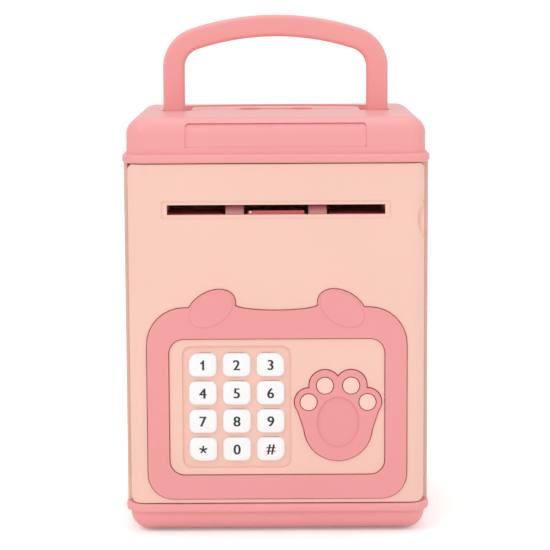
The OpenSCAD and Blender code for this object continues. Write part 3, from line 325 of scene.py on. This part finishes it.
def merged_copy(node):
    """A copy of a CAD piece with its loose triangles joined into whole faces."""
    mesh = frame["nodes"][node].data.copy()
    mesh.name = node + "_finish"
    bm = bmesh.new()
    bm.from_mesh(mesh)
    bmesh.ops.remove_doubles(bm, verts=bm.verts, dist=WELD)
    bmesh.ops.dissolve_degenerate(bm, edges=bm.edges, dist=1e-6)
    bm.to_mesh(mesh)
    bm.free()
    mesh.materials.clear()
    return new_object(node + "_finish", mesh)


def flat_faces(o, degrees=0.6):
    """Joins coplanar triangles, so that a bevel meets clean corners."""
    bm = bmesh.new()
    bm.from_mesh(o.data)
    bmesh.ops.dissolve_limit(bm, angle_limit=math.radians(degrees), verts=bm.verts, edges=bm.edges)
    bm.to_mesh(o.data)
    bm.free()
    return o


def soften(o, width, segments, degrees=38):
    """Rounds the sharp edges, as moulding leaves them."""
    o.data.shade_smooth()
    bevel = o.modifiers.new("soft_edges", "BEVEL")
    bevel.width, bevel.segments = width, segments
    bevel.limit_method, bevel.angle_limit = "ANGLE", math.radians(degrees)
    bevel.use_clamp_overlap = False
    bevel.miter_outer = "MITER_ARC"
    baked(o)
    smooth(o.data, 40)
    weigh = o.modifiers.new("even_shading", "WEIGHTED_NORMAL")
    weigh.keep_sharp = True
    return baked(o)


def combine(o, other, how):
    """A boolean between two closed pieces; the second one is used up."""
    m = o.modifiers.new("cut", "BOOLEAN")
    m.operation, m.object, m.solver = how, other, "MANIFOLD"
    baked(o)
    bpy.data.objects.remove(other)
    return o


def fit(o, body, slot, *nodes):
    """Gives a finished piece its finish and its body, and hides the CAD pieces that it stands for."""
    o.data.materials.clear()
    o.data.materials.append(finish_for(slot))
    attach(o, body)
    if nodes:
        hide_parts(*nodes)
    return o


def dress(node):
    """A CAD piece that stays, with its finish."""
    o = frame["nodes"][node]
    m = finish_for(SLOT_OF[node])
    if not o.data.materials:
        o.data.materials.append(m)
    for s in o.material_slots:
        s.material = m


def refined(node, width, segments=3, degrees=38):
    """A copy of a CAD piece with its edges rounded, which stands for that piece."""
    o = soften(flat_faces(merged_copy(node)), width, segments, degrees)
    return fit(o, BODY_OF[node], SLOT_OF[node], node)


def islands(node):
    """The separate solids of a CAD piece, as lists of points."""
    bm = bmesh.new()
    bm.from_mesh(frame["nodes"][node].data)
    bmesh.ops.remove_doubles(bm, verts=bm.verts, dist=WELD)
    seen, groups = set(), []
    for v in bm.verts:
        if v.index in seen:
            continue
        stack, group = [v], []
        seen.add(v.index)
        while stack:
            w = stack.pop()
            group.append(w.co.copy())
            for e in w.link_edges:
                u = e.other_vert(w)
                if u.index not in seen:
                    seen.add(u.index)
                    stack.append(u)
        groups.append(group)
    bm.free()
    return groups


# Geometry Nodes

def tree(name, inputs):
    """A new tree with geometry in and out and these named inputs."""
    g = bpy.data.node_groups.new(name, "GeometryNodeTree")
    socket(g, "Geometry", "NodeSocketGeometry", "INPUT")
    ids = {}
    for label, kind, value in inputs:
        ids[label] = socket(g, label, kind, "INPUT", value).identifier
    socket(g, "Geometry", "NodeSocketGeometry", "OUTPUT")
    return g, g.nodes.new("NodeGroupInput"), g.nodes.new("NodeGroupOutput"), ids


def close_tree(g, given, out, geometry):
    """Ends a tree in Realize Instances and Set Material."""
    real = g.nodes.new("GeometryNodeRealizeInstances")
    paint = g.nodes.new("GeometryNodeSetMaterial")
    g.links.new(geometry, real.inputs[0])
    g.links.new(real.outputs[0], paint.inputs["Geometry"])
    g.links.new(given.outputs["Finish"], paint.inputs["Material"])
    g.links.new(paint.outputs[0], out.inputs[0])


def grown(name, mesh, g, ids, values):
    """An object made by a tree with these inputs, baked to a plain mesh."""
    o = new_object(name, mesh)
    m = o.modifiers.new("grown", "NODES")
    m.node_group = g
    for label, value in values.items():
        m[ids[label]] = value
    return baked(o)


def bar_tree():
    """A bar with rounded edges along the curve, and a round eye at both ends."""
    g, given, out, ids = tree("handle_bar", [
        ("Bar Width", "NodeSocketFloat", 0.0095), ("Bar Thickness", "NodeSocketFloat", 0.0076),
        ("Edge Radius", "NodeSocketFloat", 0.0019), ("Half Span", "NodeSocketFloat", 0.045),
        ("Pivot Height", "NodeSocketFloat", 0.174), ("Finish", "NodeSocketMaterial", None)])
    n, link = g.nodes, g.links.new
    curve = n.new("GeometryNodeMeshToCurve")
    normal = n.new("GeometryNodeSetCurveNormal")
    normal.mode = "FREE"
    normal.inputs["Normal"].default_value = (0, 1, 0)
    section = n.new("GeometryNodeCurvePrimitiveQuadrilateral")
    fillet = n.new("GeometryNodeFilletCurve")
    fillet.mode = "POLY"
    fillet.inputs["Count"].default_value = 6
    sweep = n.new("GeometryNodeCurveToMesh")
    sweep.inputs["Fill Caps"].default_value = True
    link(given.outputs["Geometry"], curve.inputs[0])
    link(curve.outputs[0], normal.inputs["Curve"])
    link(given.outputs["Bar Thickness"], section.inputs["Width"])
    link(given.outputs["Bar Width"], section.inputs["Height"])
    link(section.outputs[0], fillet.inputs["Curve"])
    link(given.outputs["Edge Radius"], fillet.inputs["Radius"])
    link(normal.outputs[0], sweep.inputs["Curve"])
    link(fillet.outputs[0], sweep.inputs["Profile Curve"])
    eye = n.new("GeometryNodeMeshCylinder")
    eye.inputs["Vertices"].default_value = 48
    half, less = n.new("ShaderNodeMath"), n.new("ShaderNodeMath")
    half.operation, less.operation = "MULTIPLY", "MULTIPLY"
    # The eye is a little thinner and shorter than the bar
    half.inputs[1].default_value, less.inputs[1].default_value = 0.495, 0.96
    link(given.outputs["Bar Thickness"], half.inputs[0])
    link(given.outputs["Bar Width"], less.inputs[0])
    link(half.outputs[0], eye.inputs["Radius"])
    link(less.outputs[0], eye.inputs["Depth"])
    left, right, minus = n.new("ShaderNodeCombineXYZ"), n.new("ShaderNodeCombineXYZ"), n.new("ShaderNodeMath")
    minus.operation = "MULTIPLY"
    minus.inputs[1].default_value = -1.0
    link(given.outputs["Half Span"], minus.inputs[0])
    link(minus.outputs[0], left.inputs["X"])
    link(given.outputs["Half Span"], right.inputs["X"])
    ends = n.new("GeometryNodeMeshLine")
    ends.mode = "END_POINTS"
    ends.inputs["Count"].default_value = 2
    for c in (left, right):
        link(given.outputs["Pivot Height"], c.inputs["Z"])
    link(left.outputs[0], ends.inputs["Start Location"])
    link(right.outputs[0], ends.inputs["Offset"])
    put = n.new("GeometryNodeInstanceOnPoints")
    put.inputs["Rotation"].default_value = (0, math.pi / 2, 0)
    link(ends.outputs[0], put.inputs["Points"])
    link(eye.outputs["Mesh"], put.inputs["Instance"])
    both = n.new("GeometryNodeJoinGeometry")
    link(sweep.outputs[0], both.inputs[0])
    link(put.outputs[0], both.inputs[0])
    close_tree(g, given, out, both.outputs[0])
    return g, ids


def scatter_tree():
    """The same small piece at every point, turned to face one way."""
    g, given, out, ids = tree("screw_set", [
        ("Piece", "NodeSocketObject", None), ("Facing", "NodeSocketVector", (0, 0, 1)),
        ("Size", "NodeSocketFloat", 1.0), ("Finish", "NodeSocketMaterial", None)])
    n, link = g.nodes, g.links.new
    info = n.new("GeometryNodeObjectInfo")
    turn = n.new("FunctionNodeAlignRotationToVector")
    turn.axis = "Z"
    put = n.new("GeometryNodeInstanceOnPoints")
    link(given.outputs["Piece"], info.inputs["Object"])
    link(given.outputs["Facing"], turn.inputs["Vector"])
    link(given.outputs["Geometry"], put.inputs["Points"])
    link(info.outputs["Geometry"], put.inputs["Instance"])
    link(turn.outputs[0], put.inputs["Rotation"])
    link(given.outputs["Size"], put.inputs["Scale"])
    close_tree(g, given, out, put.outputs[0])
    return g, ids


def coil_tree():
    """A wire coil along Z; the paw's step turns it to Y."""
    g, given, out, ids = tree("coil_spring", [
        ("Coil Radius", "NodeSocketFloat", 0.003), ("Coil Length", "NodeSocketFloat", 0.004),
        ("Turns", "NodeSocketFloat", 4.0), ("Wire Radius", "NodeSocketFloat", 0.0002),
        ("Finish", "NodeSocketMaterial", None)])
    n, link = g.nodes, g.links.new
    spiral = n.new("GeometryNodeCurveSpiral")
    spiral.inputs["Resolution"].default_value = 24
    wire = n.new("GeometryNodeCurvePrimitiveCircle")
    wire.inputs["Resolution"].default_value = 8
    sweep = n.new("GeometryNodeCurveToMesh")
    sweep.inputs["Fill Caps"].default_value = True
    link(given.outputs["Turns"], spiral.inputs["Rotations"])
    link(given.outputs["Coil Radius"], spiral.inputs["Start Radius"])
    link(given.outputs["Coil Radius"], spiral.inputs["End Radius"])
    link(given.outputs["Coil Length"], spiral.inputs["Height"])
    link(given.outputs["Wire Radius"], wire.inputs["Radius"])
    link(spiral.outputs[0], sweep.inputs["Curve"])
    link(wire.outputs[0], sweep.inputs["Profile Curve"])
    close_tree(g, given, out, sweep.outputs[0])
    return g, ids


# Pieces

def cover_envelope(name, node, roll, up, less=0.0):
    """A closed form with a rounded bead at one end and a rolled edge at the other, drawn in by less."""
    s = sizes()
    lo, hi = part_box(node)
    half_w, half_d = (hi.x - lo.x) / 2 - SHY, (hi.y - lo.y) / 2 - SHY
    rb, step, tall = s.bead_round, s.bead_step + SHY, s.bead_tall
    open_end, fillet, least = 0.001, (0.0002, 0.0003), 0.0006
    height = hi.z - lo.z
    profile = [(rb, -open_end), (rb, 0)]
    profile += [(rb + x, rb + y) for x, y in quarter(rb, 270, 180, 6)][1:]
    profile += [(rb + x, tall - rb + y) for x, y in quarter(rb, 180, 90, 6)]
    profile += [(step - fillet[0], tall), (step, tall + fillet[1])]
    profile += [(step + roll + x, height - SHY - roll + y) for x, y in quarter(roll, 180, 90, 16)]
    rings = []
    for inset, h in profile:
        inset += less
        h -= less if h > tall + 0.001 else 0
        z = lo.z + h if up else hi.z - h
        r = max(s.bead_corner - inset, least)
        rings.append([(x, y, z) for x, y in outline(half_w - inset, half_d - inset, [r] * 4, 12)])
    return new_object(name, loft(name, rings))


def lid_panel(o):
    """Sinks the panel in the lid's front to one depth, also over the rolled edge."""
    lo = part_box("lid_cover")[0]
    half_w, corner, depth = 0.0381, 0.0016, 0.00055
    low, high = lo.z + 0.0064, lo.z + 0.0166
    before, behind = lo.y - 0.002, lo.y + 0.006
    mid = (low + high) / 2
    rings = [[(x, y, mid + z) for x, z in outline(half_w, (high - low) / 2, [corner] * 4, 6)]
             for y in (before, behind)]
    tool = new_object("panel_tool", loft("panel_tool", rings))
    combine(tool, cover_envelope("panel_depth", "lid_cover", sizes().dome_roll, True, depth), "DIFFERENCE")
    return combine(o, tool, "DIFFERENCE")


def cover(node, roll, up):
    """The lid's or the base's cover: the CAD piece cut to its rounded form, then softened."""
    o = merged_copy(node)
    combine(o, cover_envelope(node + "_form", node, roll, up), "INTERSECT")
    if up:
        lid_panel(o)
    flat_faces(o, 0.4)
    soften(o, sizes().soft_edge * 0.6, 3)
    return fit(o, BODY_OF[node], SLOT_OF[node], node)


def arch_path():
    """The middle line of the handle's bar, from one pivot to the other."""
    s = sizes()
    lo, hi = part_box("handle")
    half_bar = s.bar_width / 2
    thick = hi.y - lo.y
    pivot = lo.z + thick / 2
    span = hi.x - half_bar
    shoulder_x, crown_z = hi.x - s.shoulder, hi.z - s.crown
    rise = math.sqrt((s.crown - s.shoulder) ** 2 - shoulder_x ** 2)
    lean = math.degrees(math.atan2(rise, shoulder_x))
    bend, top = s.shoulder - half_bar, s.crown - half_bar
    right = [(span, pivot), (span, crown_z + rise - 0.002)]
    right += [(shoulder_x + x, crown_z + rise + y) for x, y in quarter(bend, 0, lean, 16)]
    half = right + [(x, crown_z + y) for x, y in quarter(top, lean, 90, 10)][1:]
    full = half + [(-x, z) for x, z in half[:-1]][::-1]
    mesh = bpy.data.meshes.new("handle_path")
    mesh.from_pydata([(x, 0, z) for x, z in full], [(i, i + 1) for i in range(len(full) - 1)], [])
    return mesh, span, pivot, thick


def key_rings(i, front, back):
    """Rings of one key from its hidden back to its crowned front."""
    s = sizes()
    lo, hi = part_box(KEY_NODES[i])
    cx, cz = (lo.x + hi.x) / 2, (lo.z + hi.z) / 2
    flange, flange_deep, hair = 0.0006, 0.0012, 0.0001
    half_w, half_h = (hi.x - lo.x) / 2, (hi.z - lo.z) / 2
    cap_w, cap_h = half_w - flange, half_h - flange
    small, large = 0.0026, 0.0042
    radii = [large if i == corner else small for corner in CORNER_KEYS]
    shoulder, e = back - flange_deep, s.key_edge
    plan = [(-flange, back), (-flange, shoulder), (0, shoulder - hair), (0, front + e)]
    plan += [(e - e * math.cos(math.radians(a)), front + hair + e - (e - hair) * math.sin(math.radians(a)))
             for a in range(15, 91, 15)]
    crown = [(0.0010, 0.00004), (0.0021, 0.00001), (0.0032, 0)]
    plan += [(e + inset, front + drop) for inset, drop in crown]
    rings = []
    for inset, y in plan:
        r = [max(v - inset, 0.0003) for v in radii]
        rings.append([(cx + u, y, cz + v) for u, v in outline(cap_w - inset, cap_h - inset, r, 8)])
    return rings, cx, cz


def figure(text, name, tall, cx, cz, front):
    """One figure as a thin mesh that stands on the key's front."""
    curve = bpy.data.curves.new(name, "FONT")
    curve.body, curve.size, curve.extrude = text, 1.0, 0.02
    holder = new_object(name + "_type", curve)
    bpy.context.view_layer.update()
    graph = bpy.context.evaluated_depsgraph_get()
    mesh = bpy.data.meshes.new_from_object(holder.evaluated_get(graph), depsgraph=graph)
    bpy.data.objects.remove(holder)
    xs = [v.co.x for v in mesh.vertices]
    ys = [v.co.y for v in mesh.vertices]
    k = tall / (max(ys) - min(ys))
    mx, my = (max(xs) + min(xs)) / 2, (max(ys) + min(ys)) / 2
    level, half = front + 0.00002, 0.00006
    for v in mesh.vertices:
        x, y, z = v.co
        v.co = (cx + (x - mx) * k, level - (half if z > 0 else -half), cz + (y - my) * k)
    bm = bmesh.new()
    bm.from_mesh(mesh)
    bmesh.ops.remove_doubles(bm, verts=bm.verts, dist=1e-7)
    bmesh.ops.recalc_face_normals(bm, faces=bm.faces)
    bm.to_mesh(mesh)
    bm.free()
    mesh.name = name
    return new_object(name, mesh)


def screw_form(name, head_r, head_h, shank_r, shank_l):
    """A pan-head screw with a cross recess; the head's top is at the origin and faces +Z."""
    profile = [(shank_r * 0.5, -head_h - shank_l), (shank_r, -head_h - shank_l * 0.9), (shank_r, -head_h),
               (head_r, -head_h), (head_r, -head_h * 0.5), (head_r * 0.9, -head_h * 0.22),
               (head_r * 0.68, -head_h * 0.05), (head_r * 0.4, 0)]
    around = 24
    rings = [[(r * math.cos(2 * math.pi * i / around), r * math.sin(2 * math.pi * i / around), z)
              for i in range(around)] for r, z in profile]
    o = new_object(name, loft(name, rings))
    arm, half_slot, deep, above = head_r * 0.62, head_r * 0.13, head_h * 0.55, 0.0005
    slot = ((arm, half_slot), (-arm, half_slot), (-arm, -half_slot), (arm, -half_slot))
    for turn in (0, 90):
        mesh = loft("recess", [[(x, y, z) for x, y in slot] for z in (-deep, above)])
        mesh.transform(Matrix.Rotation(math.radians(turn), 4, "Z"))
        combine(o, new_object("recess", mesh), "DIFFERENCE")
    return o


def off_axis(p, mid, others):
    """How far a point lies from a screw's axis; others are the two axes across it."""
    return math.hypot(*(p[k] - mid[k] for k in others))


def screw_set(node, g, ids):
    """All the screws of one CAD piece."""
    tips = []
    for points in islands(node):
        lo = Vector([min(p[k] for p in points) for k in range(3)])
        hi = Vector([max(p[k] for p in points) for k in range(3)])
        mid, size = (lo + hi) / 2, hi - lo
        axis = max(range(3), key=lambda k: size[k])
        others = [k for k in range(3) if k != axis]
        reach = max(off_axis(p, mid, others) for p in points)
        rim = [p[axis] for p in points if off_axis(p, mid, others) > reach * 0.97]
        thin = [p for p in points if off_axis(p, mid, others) < reach * 0.8]
        way = 1 if sum(rim) / len(rim) > mid[axis] else -1
        tip = mid.copy()
        tip[axis] = hi[axis] if way > 0 else lo[axis]
        facing = [0, 0, 0]
        facing[axis] = way
        shank = max([off_axis(p, mid, others) for p in thin] or [reach * 0.5])
        tips.append((tip, facing, reach, max(rim) - min(rim), shank, size[axis]))
    _, facing, reach, head, shank, total = tips[0]
    form = screw_form(node + "_form", reach, head, shank, total - head)
    mesh = bpy.data.meshes.new(node + "_places")
    mesh.from_pydata([tuple(t[0]) for t in tips], [], [])
    o = grown(node + "_finish", mesh, g, ids, {
        "Piece": form, "Facing": tuple(float(v) for v in facing), "Size": 1.0, "Finish": finish_for("steel")})
    bpy.data.objects.remove(form)
    smooth(o.data, 35)
    return fit(o, BODY_OF[node], SLOT_OF[node], node)


def thicker(o, step):
    """Widens the strokes of a figure by joining it with two copies moved sideways."""
    wide = max(v.co.x for v in o.data.vertices)
    for way in (-1, 1):
        mesh = o.data.copy()
        mesh.transform(Matrix.Translation((way * step, 0, 0)))
        combine(o, new_object("stroke", mesh), "UNION")
    if max(v.co.x for v in o.data.vertices) < wide + step * 0.5:
        raise RuntimeError(o.name + " could not be widened")
    return o


def drawn(name, plan, cx, cz, front):
    """A figure with this flat outline, as a thin mesh on the key's front."""
    return new_object(name, loft(name, [[(cx + x, y, cz + z) for x, z in plan]
                                        for y in (front + FIGURE_SUNK, front - FIGURE_PROUD)]))


def one(name, tall, cx, cz, front):
    """The figure 1, with its flag."""
    h, w = tall / 2, tall * 0.1
    plan = [(w, -h), (w, h), (-w * 0.4, h), (-w * 1.5, h * 0.62), (-w * 2.8, h * 0.5), (-w * 2.8, h * 0.2),
            (-w, h * 0.25), (-w, -h)]
    shift = w * 0.6
    return drawn(name, plan, cx + shift, cz, front)


def star(name, tall, cx, cz, front):
    """The star, with five blunt arms."""
    arm, half, hub = tall * 0.40, tall * 0.085, tall * 0.13
    plan = []
    for k in range(5):
        a = math.radians(90 + 72 * k)
        u, v = (math.cos(a), math.sin(a)), (-math.sin(a), math.cos(a))
        plan += [(u[0] * arm - v[0] * half, u[1] * arm - v[1] * half),
                 (u[0] * arm + v[0] * half, u[1] * arm + v[1] * half)]
        b = a + math.radians(36)
        plan.append((hub * math.cos(b), hub * math.sin(b)))
    return drawn(name, plan, cx, cz, front)


def notch_floor():
    """The sunk floor of the finger notch in the door's right edge."""
    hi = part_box("door_panel")[1]
    radius, height = 0.0101, 0.1349
    middle, edge = hi.x + 0.00635, hi.x - 0.0003
    front, back = -0.0553, -0.0541
    span = math.degrees(math.acos((middle - edge) / radius))
    plan = [(middle + x, height + z) for x, z in quarter(radius, 180 - span, 180 + span, 24)]
    o = new_object("notch_floor", loft("notch_floor", [[(x, y, z) for x, z in plan] for y in (front, back)]))
    return fit(o, "door", "peach_shell")


class TOYSAFE_OT_lid(bpy.types.Operator):
    """Makes the lid with its bead, rolled edge, handle nest, dish and coin slot"""
    bl_idname = "toysafe.lid"
    bl_label = "Lid"

    def execute(self, context):
        cover("lid_cover", sizes().dome_roll, True)
        for node in ("lid_liner", "coin_chute"):
            refined(node, sizes().soft_edge * 0.7, 2)
        return {"FINISHED"}


class TOYSAFE_OT_base(bpy.types.Operator):
    """Makes the base tray, its floor and its four feet"""
    bl_idname = "toysafe.base"
    bl_label = "Base"

    def execute(self, context):
        cover("base_tray", sizes().tub_roll, False)
        refined("rubber_feet", FEET_EDGE)
        dress("floor_plate")
        return {"FINISHED"}


class TOYSAFE_OT_handle(bpy.types.Operator):
    """Sweeps the carrying handle along its arch"""
    bl_idname = "toysafe.handle"
    bl_label = "Handle"

    def execute(self, context):
        path, span, pivot, thick = arch_path()
        g, ids = bar_tree()
        o = grown("handle_finish", path, g, ids, {
            "Bar Width": sizes().bar_width, "Bar Thickness": thick, "Edge Radius": sizes().bar_edge,
            "Half Span": span, "Pivot Height": pivot, "Finish": finish_for("pink_shell")})
        smooth(o.data, 40)
        fit(o, "carry_handle", "pink_shell", "handle")
        return {"FINISHED"}


class TOYSAFE_OT_walls(bpy.types.Operator):
    """Softens the edges of the peach walls"""
    bl_idname = "toysafe.walls"
    bl_label = "Walls"

    def execute(self, context):
        refined("body_shell", sizes().soft_edge * 0.5, 2)
        return {"FINISHED"}


class TOYSAFE_OT_door(bpy.types.Operator):
    """Makes the door, its keypad frame and the floor of its finger notch"""
    bl_idname = "toysafe.door"
    bl_label = "Door"

    def execute(self, context):
        s = sizes()
        refined("door_panel", s.soft_edge * 0.35, 2, 55)
        refined("face_frame", s.bezel_edge, 4)
        notch_floor()
        return {"FINISHED"}


class TOYSAFE_OT_keys(bpy.types.Operator):
    """Makes the twelve keys and their figures"""
    bl_idname = "toysafe.keys"
    bl_label = "Keys"

    def execute(self, context):
        ink = moulded("key_print", colours().figures, 0.45, drift=0.05, grain=0.05, dust=0.0)
        for i, node in enumerate(KEY_NODES):
            lo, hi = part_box(node)
            tall, name = sizes().figure_tall, node + "_figure"
            rings, cx, cz = key_rings(i, lo.y, hi.y)
            cap = new_object(node + "_cap", loft(node + "_cap", rings))
            smooth(cap.data, 40)
            fit(cap, BODY_OF[node], "key_white", node)
            if KEY_FACES[i] == "*":
                mark = star(name, tall, cx, cz, lo.y)
            elif KEY_FACES[i] == "1":
                mark = one(name, tall, cx, cz, lo.y)
            else:
                mark = thicker(figure(KEY_FACES[i], name, tall, cx, cz, lo.y), STROKE)
            mark.data.materials.clear()
            mark.data.materials.append(ink)
            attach(mark, BODY_OF[node])
        return {"FINISHED"}


class TOYSAFE_OT_paw(bpy.types.Operator):
    """Makes the paw button, its toe lenses and its spring"""
    bl_idname = "toysafe.paw"
    bl_label = "Paw button"

    def execute(self, context):
        refined("paw_button", PAW_EDGE)
        refined("toe_lenses", PAW_EDGE)
        lo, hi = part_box("paw_spring")
        radius, wire, long = (hi.x - lo.x) / 2, 0.00025, hi.y - lo.y
        turns, travel, flattest = 4.0, 0.0008, 0.1
        g, ids = coil_tree()
        seed = bpy.data.meshes.new("spring_seed")
        o = grown("paw_spring_finish", seed, g, ids, {
            "Coil Radius": radius - wire, "Coil Length": long - 2 * wire, "Turns": turns, "Wire Radius": wire,
            "Finish": finish_for("steel")})
        o.data.transform(Matrix.Rotation(math.radians(-90), 4, "X"))
        o.data.transform(Matrix.Translation(((lo.x + hi.x) / 2, lo.y + wire, (lo.z + hi.z) / 2)))
        smooth(o.data, 60)
        fit(o, "door", "steel", "paw_spring")
        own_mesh(o)
        return {"FINISHED"}


class TOYSAFE_OT_screws(bpy.types.Operator):
    """Sets every screw, with its cross recess"""
    bl_idname = "toysafe.screws"
    bl_label = "Screws"

    def execute(self, context):
        g, ids = scatter_tree()
        for node in ("base_screws", "lid_screws", "cover_screws", "board_screws", "battery_screw"):
            screw_set(node, g, ids)
        return {"FINISHED"}


class TOYSAFE_OT_inside(bpy.types.Operator):
    """Finishes the feeder, the lock and the electrics behind the door's plate"""
    bl_idname = "toysafe.inside"
    bl_label = "Inside"

    def execute(self, context):
        for node in ("feed_rollers", "pinch_rollers", "battery_cover", "speaker"):
            refined(node, INNER_EDGE, 2)
        for node, o in frame["nodes"].items():
            if not o.hide_render:
                dress(node)
        return {"FINISHED"}


class TOYSAFE_OT_stage(bpy.types.Operator):
    """Sets the floor, the studio lights and the camera"""
    bl_idname = "toysafe.stage"
    bl_label = "Stage"

    def execute(self, context):
        scene = context.scene
        mesh = bpy.data.meshes.new("floor")
        far = 6
        mesh.from_pydata([(-far, -far, 0), (far, -far, 0), (far, far, 0), (-far, far, 0)], [], [(0, 1, 2, 3)])
        floor = new_object("floor", mesh)
        card = moulded("floor_card", linear(253, 253, 253), 0.9, drift=0.0, grain=0.0, dust=0.0)
        glow = card.node_tree.nodes["Principled BSDF"].inputs
        glow["Emission Color"].default_value = (1, 1, 1, 1)
        # The card glows for the camera only, so that the glow lights nothing else
        seen, level = card.node_tree.nodes.new("ShaderNodeLightPath"), card.node_tree.nodes.new("ShaderNodeMath")
        level.operation = "MULTIPLY"
        level.inputs[1].default_value = 0.26
        card.node_tree.links.new(seen.outputs["Is Camera Ray"], level.inputs[0])
        card.node_tree.links.new(level.outputs[0], glow["Emission Strength"])
        mesh.materials.append(card)
        world = bpy.data.worlds.new("studio")
        world.use_nodes = True
        nodes, link = world.node_tree.nodes, world.node_tree.links.new
        sky = nodes["Background"]
        sky.inputs["Color"].default_value = (1, 1, 1, 1)
        # The studio's walls look brighter to the camera than the light that they give
        seen, level = nodes.new("ShaderNodeLightPath"), nodes.new("ShaderNodeMapRange")
        level.inputs["To Min"].default_value, level.inputs["To Max"].default_value = 0.80, 1.05
        link(seen.outputs["Is Camera Ray"], level.inputs["Value"])
        link(level.outputs["Result"], sky.inputs["Strength"])
        scene.world = world
        for name, place, size, power in [("key_light", (-0.7, -1.1, 1.25), 0.8, 4.6),
                                         ("fill_light", (1.1, -1.0, 0.7), 1.0, 1.4),
                                         ("top_light", (0.0, 0.1, 1.6), 1.1, 3.2)]:
            lamp = bpy.data.lights.new(name, "AREA")
            lamp.size, lamp.energy = size, power
            o = bpy.data.objects.new(name, lamp)
            scene.collection.objects.link(o)
            o.location = place
            o.rotation_euler = (Vector((0, 0, 0.1)) - Vector(place)).to_track_quat("-Z", "Y").to_euler()
        lens = bpy.data.cameras.new("camera")
        lens.lens, lens.sensor_width, lens.clip_start = 141.2, 36, 0.01
        camera = bpy.data.objects.new("camera", lens)
        scene.collection.objects.link(camera)
        eye, aim, roll = Vector((0.0, -0.96, 0.231)), Vector((-0.0006, -0.06, 0.1119)), math.radians(-0.3)
        camera.location = eye
        turn = (aim - eye).to_track_quat("-Z", "Y").to_matrix().to_4x4()
        camera.rotation_euler = (turn @ Matrix.Rotation(roll, 4, "Z")).to_euler()
        scene.camera = camera
        scene.view_settings.view_transform = "Standard"
        return {"FINISHED"}


class TOYSAFE_PT_panel(bpy.types.Panel):
    """Lists the pieces of the toy safe with their sizes and colours"""
    bl_idname = "TOYSAFE_PT_panel"
    bl_label = "Toy safe"
    bl_space_type = "VIEW_3D"
    bl_region_type = "UI"
    bl_category = "Toy safe"

    def draw(self, context):
        for group in (context.scene.toy_safe_sizes, context.scene.toy_safe_colours):
            box = self.layout.box()
            for key in group.__annotations__:
                box.prop(group, key)
        for op in OPERATORS:
            self.layout.operator(op.bl_idname)


OPERATORS = (TOYSAFE_OT_lid, TOYSAFE_OT_base, TOYSAFE_OT_handle, TOYSAFE_OT_walls, TOYSAFE_OT_door,
             TOYSAFE_OT_keys, TOYSAFE_OT_paw, TOYSAFE_OT_screws, TOYSAFE_OT_inside, TOYSAFE_OT_stage)
CLASSES = (ToySafeSizes, ToySafeColours) + OPERATORS + (TOYSAFE_PT_panel,)


def register():
    for c in CLASSES:
        bpy.utils.register_class(c)
    bpy.types.Scene.toy_safe_sizes = bpy.props.PointerProperty(type=ToySafeSizes)
    bpy.types.Scene.toy_safe_colours = bpy.props.PointerProperty(type=ToySafeColours)


def unregister():
    del bpy.types.Scene.toy_safe_sizes
    del bpy.types.Scene.toy_safe_colours
    for c in reversed(CLASSES):
        bpy.utils.unregister_class(c)


def main():
    register()
    for op in OPERATORS:
        family, name = op.bl_idname.split(".")
        getattr(getattr(bpy.ops, family), name)()


if __name__ == "__main__":
    main()
